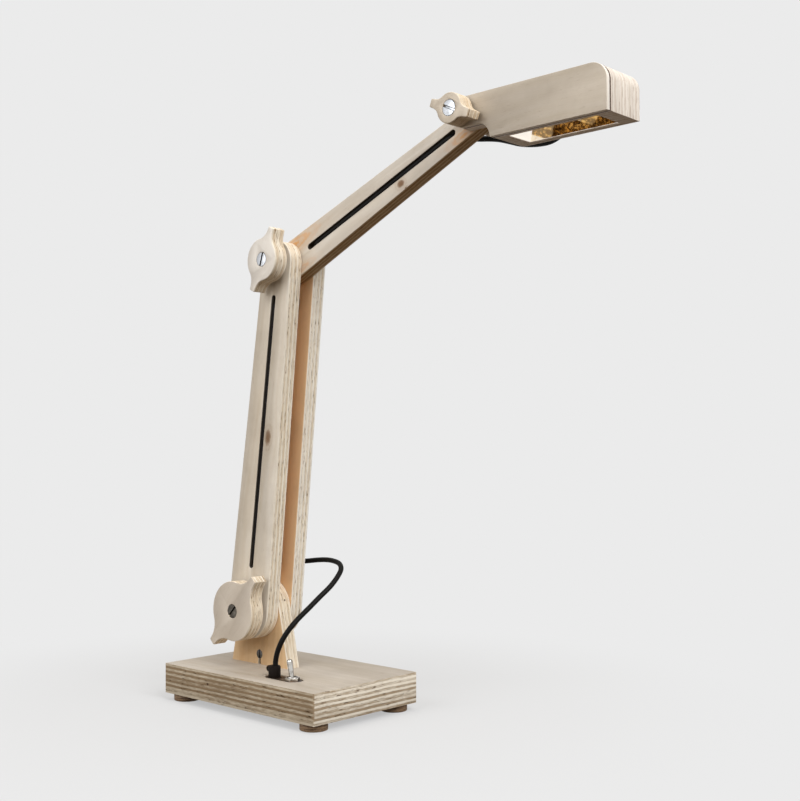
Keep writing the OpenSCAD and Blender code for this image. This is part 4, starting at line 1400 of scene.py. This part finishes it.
def lamp_finishes() -> dict[str, Material]:
    """Builds every finish of the lamp.

    Returns:
        The materials by name.
    """
    # The lower plates get painted warm bounce light on their faces in the gap, and painted shade in their
    # slots.
    lower = {
        "pale": rgb(216, 207, 193), "warm": rgb(201, 187, 166), "bounce_tint": rgb(255, 206, 146),
        "slot": LOWER_SLOT, "line": 1.0,
    }
    layer = {
        "long": rgb(232, 224, 213), "end": rgb(219, 207, 193), "glue": rgb(150, 112, 88),
        "streaks": 0.25, "line": 1.1,
    }
    knob = {"line": 1.0, "streaks": 1.3}
    finishes = (
        Plywood(
            "ply_base", BASE_SEAT, 4.5, 18.0, 13, 1.3, pale=rgb(188, 178, 165), warm=rgb(173, 161, 144),
            streaks=1.15, line=0.3, figure=1.3, rough_above=10.5, shade=rgb(214, 207, 196),
            long=PALE_PLY, end=rgb(172, 152, 126), glue=rgb(96, 76, 54),
            knots=(OvalMark(-1.7, 29.6, 1.5, 0.8, 0.25), OvalMark(53.9, -25.7, 1.7, 0.9, 0.3)),
            pits=(OvalMark(-25.0, 15.2, 1.7, 0.9),),
        ),
        # Painted shade: the upright's veneer is darker and warmer than the other boards', for the warm shade
        # between the plates where it stands.
        Plywood(
            "ply_upright", POST_SEAT, MIDDLE, BOARD, PLIES, 2.1, pale=rgb(219, 190, 151),
            warm=rgb(194, 153, 107), pits=(OvalMark(5.6, 0.9, 0.8, 0.8),),
        ),
        Plywood(
            "ply_lower_near", LOWER_SEAT, NEAR, BOARD, PLIES, 3.7, long=PALE_PLY, end=rgb(226, 208, 180),
            figure=1.3, knots=(OvalMark(106.3, -5.4, 6.0, 3.2, 1.1), OvalMark(112.0, -2.6, 1.6, 0.9, 0.4)), **lower,
        ),
        Plywood(
            "ply_lower_far", LOWER_SEAT, FAR, BOARD, PLIES, 4.9, long=rgb(250, 244, 232),
            end=rgb(234, 220, 196), bounce_side=-1.0, pits=(OvalMark(-0.4, 12.4, 3.4, 0.5, 0.8),), **lower,
        ),
        Plywood(
            "ply_upper", UPPER_SEAT, MIDDLE, BOARD, PLIES, 5.3, pale=rgb(221, 213, 201),
            warm=rgb(206, 193, 175), end=rgb(190, 162, 124), shade=rgb(200, 180, 150),
            shade_side=-1.0, slot=UPPER_SLOT, figure=1.3,
            knots=(OvalMark(97.6, -4.8, 3.3, 2.6, 1.25), OvalMark(99.9, -7.2, 1.2, 0.9, 1.3)),
            # Painted shadow: warm shade on the upper arm's face, by the elbow and by the head.
            warm_shadows=(
                OvalMark(8.0, 7.5, 18.0, 4.0), OvalMark(6.0, -8.5, 12.0, 2.2, 0.8), OvalMark(146.0, -5.5, 10.0, 3.4, 0.9)
            ),
        ),
        Plywood(
            "ply_cover", HEAD_SEAT, NEAR, 2.5, 2, 6.1, pale=rgb(198, 187, 172), warm=rgb(184, 171, 151),
            streaks=0.25, line=0.2, figure=1.1, long=rgb(244, 238, 228), end=rgb(240, 232, 220),
        ),
        Plywood("ply_cheek_near", HEAD_SEAT, -10.75, 5.8, 4, 7.7, **layer),
        Plywood("ply_core", HEAD_SEAT, -FAR, 2 * FAR, PLIES, 8.2, **layer),
        Plywood("ply_cheek_far", HEAD_SEAT, FAR, BOARD, PLIES, 9.4, **layer),
        # Painted light and shade: the elbow knob's veneer is paler and the shoulder knob's darker, for the
        # light from above that falls more on the elbow knob.
        Plywood(
            "ply_shoulder_knob", Seat(SHOULDER, 46.6), -26.45, BOARD, PLIES, 10.6,
            pale=rgb(213, 202, 188), warm=rgb(199, 186, 168), **knob,
        ),
        Plywood(
            "ply_elbow_knob", Seat(ELBOW, 64.0), -26.45, BOARD, PLIES, 11.2,
            pale=rgb(234, 228, 219), warm=rgb(221, 212, 199), **knob,
        ),
        Plywood(
            "ply_head_knob", Seat(HEAD, 158.5), -25.35, BOARD, PLIES, 12.5,
            long=rgb(226, 212, 190), end=rgb(204, 182, 150), **knob,
        ),
        FootWood("foot_wood"),
        Metal("zinc", rgb(150, 146, 138), rgb(96, 90, 80), 0.36, 2.0),
        Metal(
            "zinc_screw", rgb(128, 122, 112), rgb(82, 76, 68), 0.42, 2.0,
            rim=0.2, shade=rgb(34, 28, 24), walls=0.9,
        ),
        Metal(
            "bright_steel", rgb(204, 206, 209), rgb(172, 173, 174), 0.44, 3.0,
            rim=0.1, shade=rgb(58, 52, 48), walls=0.85,
        ),
        Metal("dark_steel", rgb(110, 108, 106), rgb(76, 70, 64), 0.4, 4.0),
        Metal("burnt_steel", rgb(46, 37, 30), rgb(30, 24, 19), 0.6, 4.5),
        Metal(
            "chrome", rgb(214, 211, 205), rgb(160, 152, 142), 0.1, 5.0,
            rim=0.97, shade=rgb(40, 32, 26),
        ),
        Metal("bronze", rgb(112, 86, 66), rgb(66, 50, 38), 0.42, 6.0),
        Moulded("black_plastic", rgb(34, 33, 32), rgb(58, 55, 52), 0.45, 2.0),
        Moulded("black_rubber", rgb(22, 16, 12), rgb(36, 28, 22), 0.55, 3.0, shine=0.1),
        Moulded("cable_sheath", rgb(13, 11, 9), rgb(26, 21, 17), 0.42, 4.0, 0.00002, 0.1),
        Moulded("nylon", rgb(206, 198, 182), rgb(180, 168, 150), 0.45, 5.0),
        # Painted shadow: the dark colour of the head's spacer sheet gives the shadow line of the gap.
        Moulded("shadow_gap_layer", rgb(84, 62, 48), rgb(60, 44, 34), 0.6, 6.0),
        Moulded("board_white", rgb(226, 224, 216), rgb(200, 196, 184), 0.4, 7.0),
        Mirror("mirror_sheet"),
        Phosphor("chip_yellow"),
    )
    effects = Effects()
    return {finish.name: finish.build(effects) for finish in finishes}


def main() -> None:
    """Builds the studio and the lamp in order."""
    logging.basicConfig(level=logging.INFO, format="%(message)s")
    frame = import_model()
    studio = Studio()
    studio.camera()
    shop = Shop(frame, lamp_finishes())
    screws = {"shoulder": "zinc_screw", "elbow": "bright_steel", "head": "bright_steel"}
    knobs = (Knob.of(joint, finish) for joint, finish in screws.items())
    for assembly in (Cable(), BaseBoard(), Switch(), Arms(), Head(), *knobs):
        assembly.build(shop)
        log.info("built %s", type(assembly).__name__)
    studio.floor()
    studio.light()


if __name__ == "__main__":
    main()
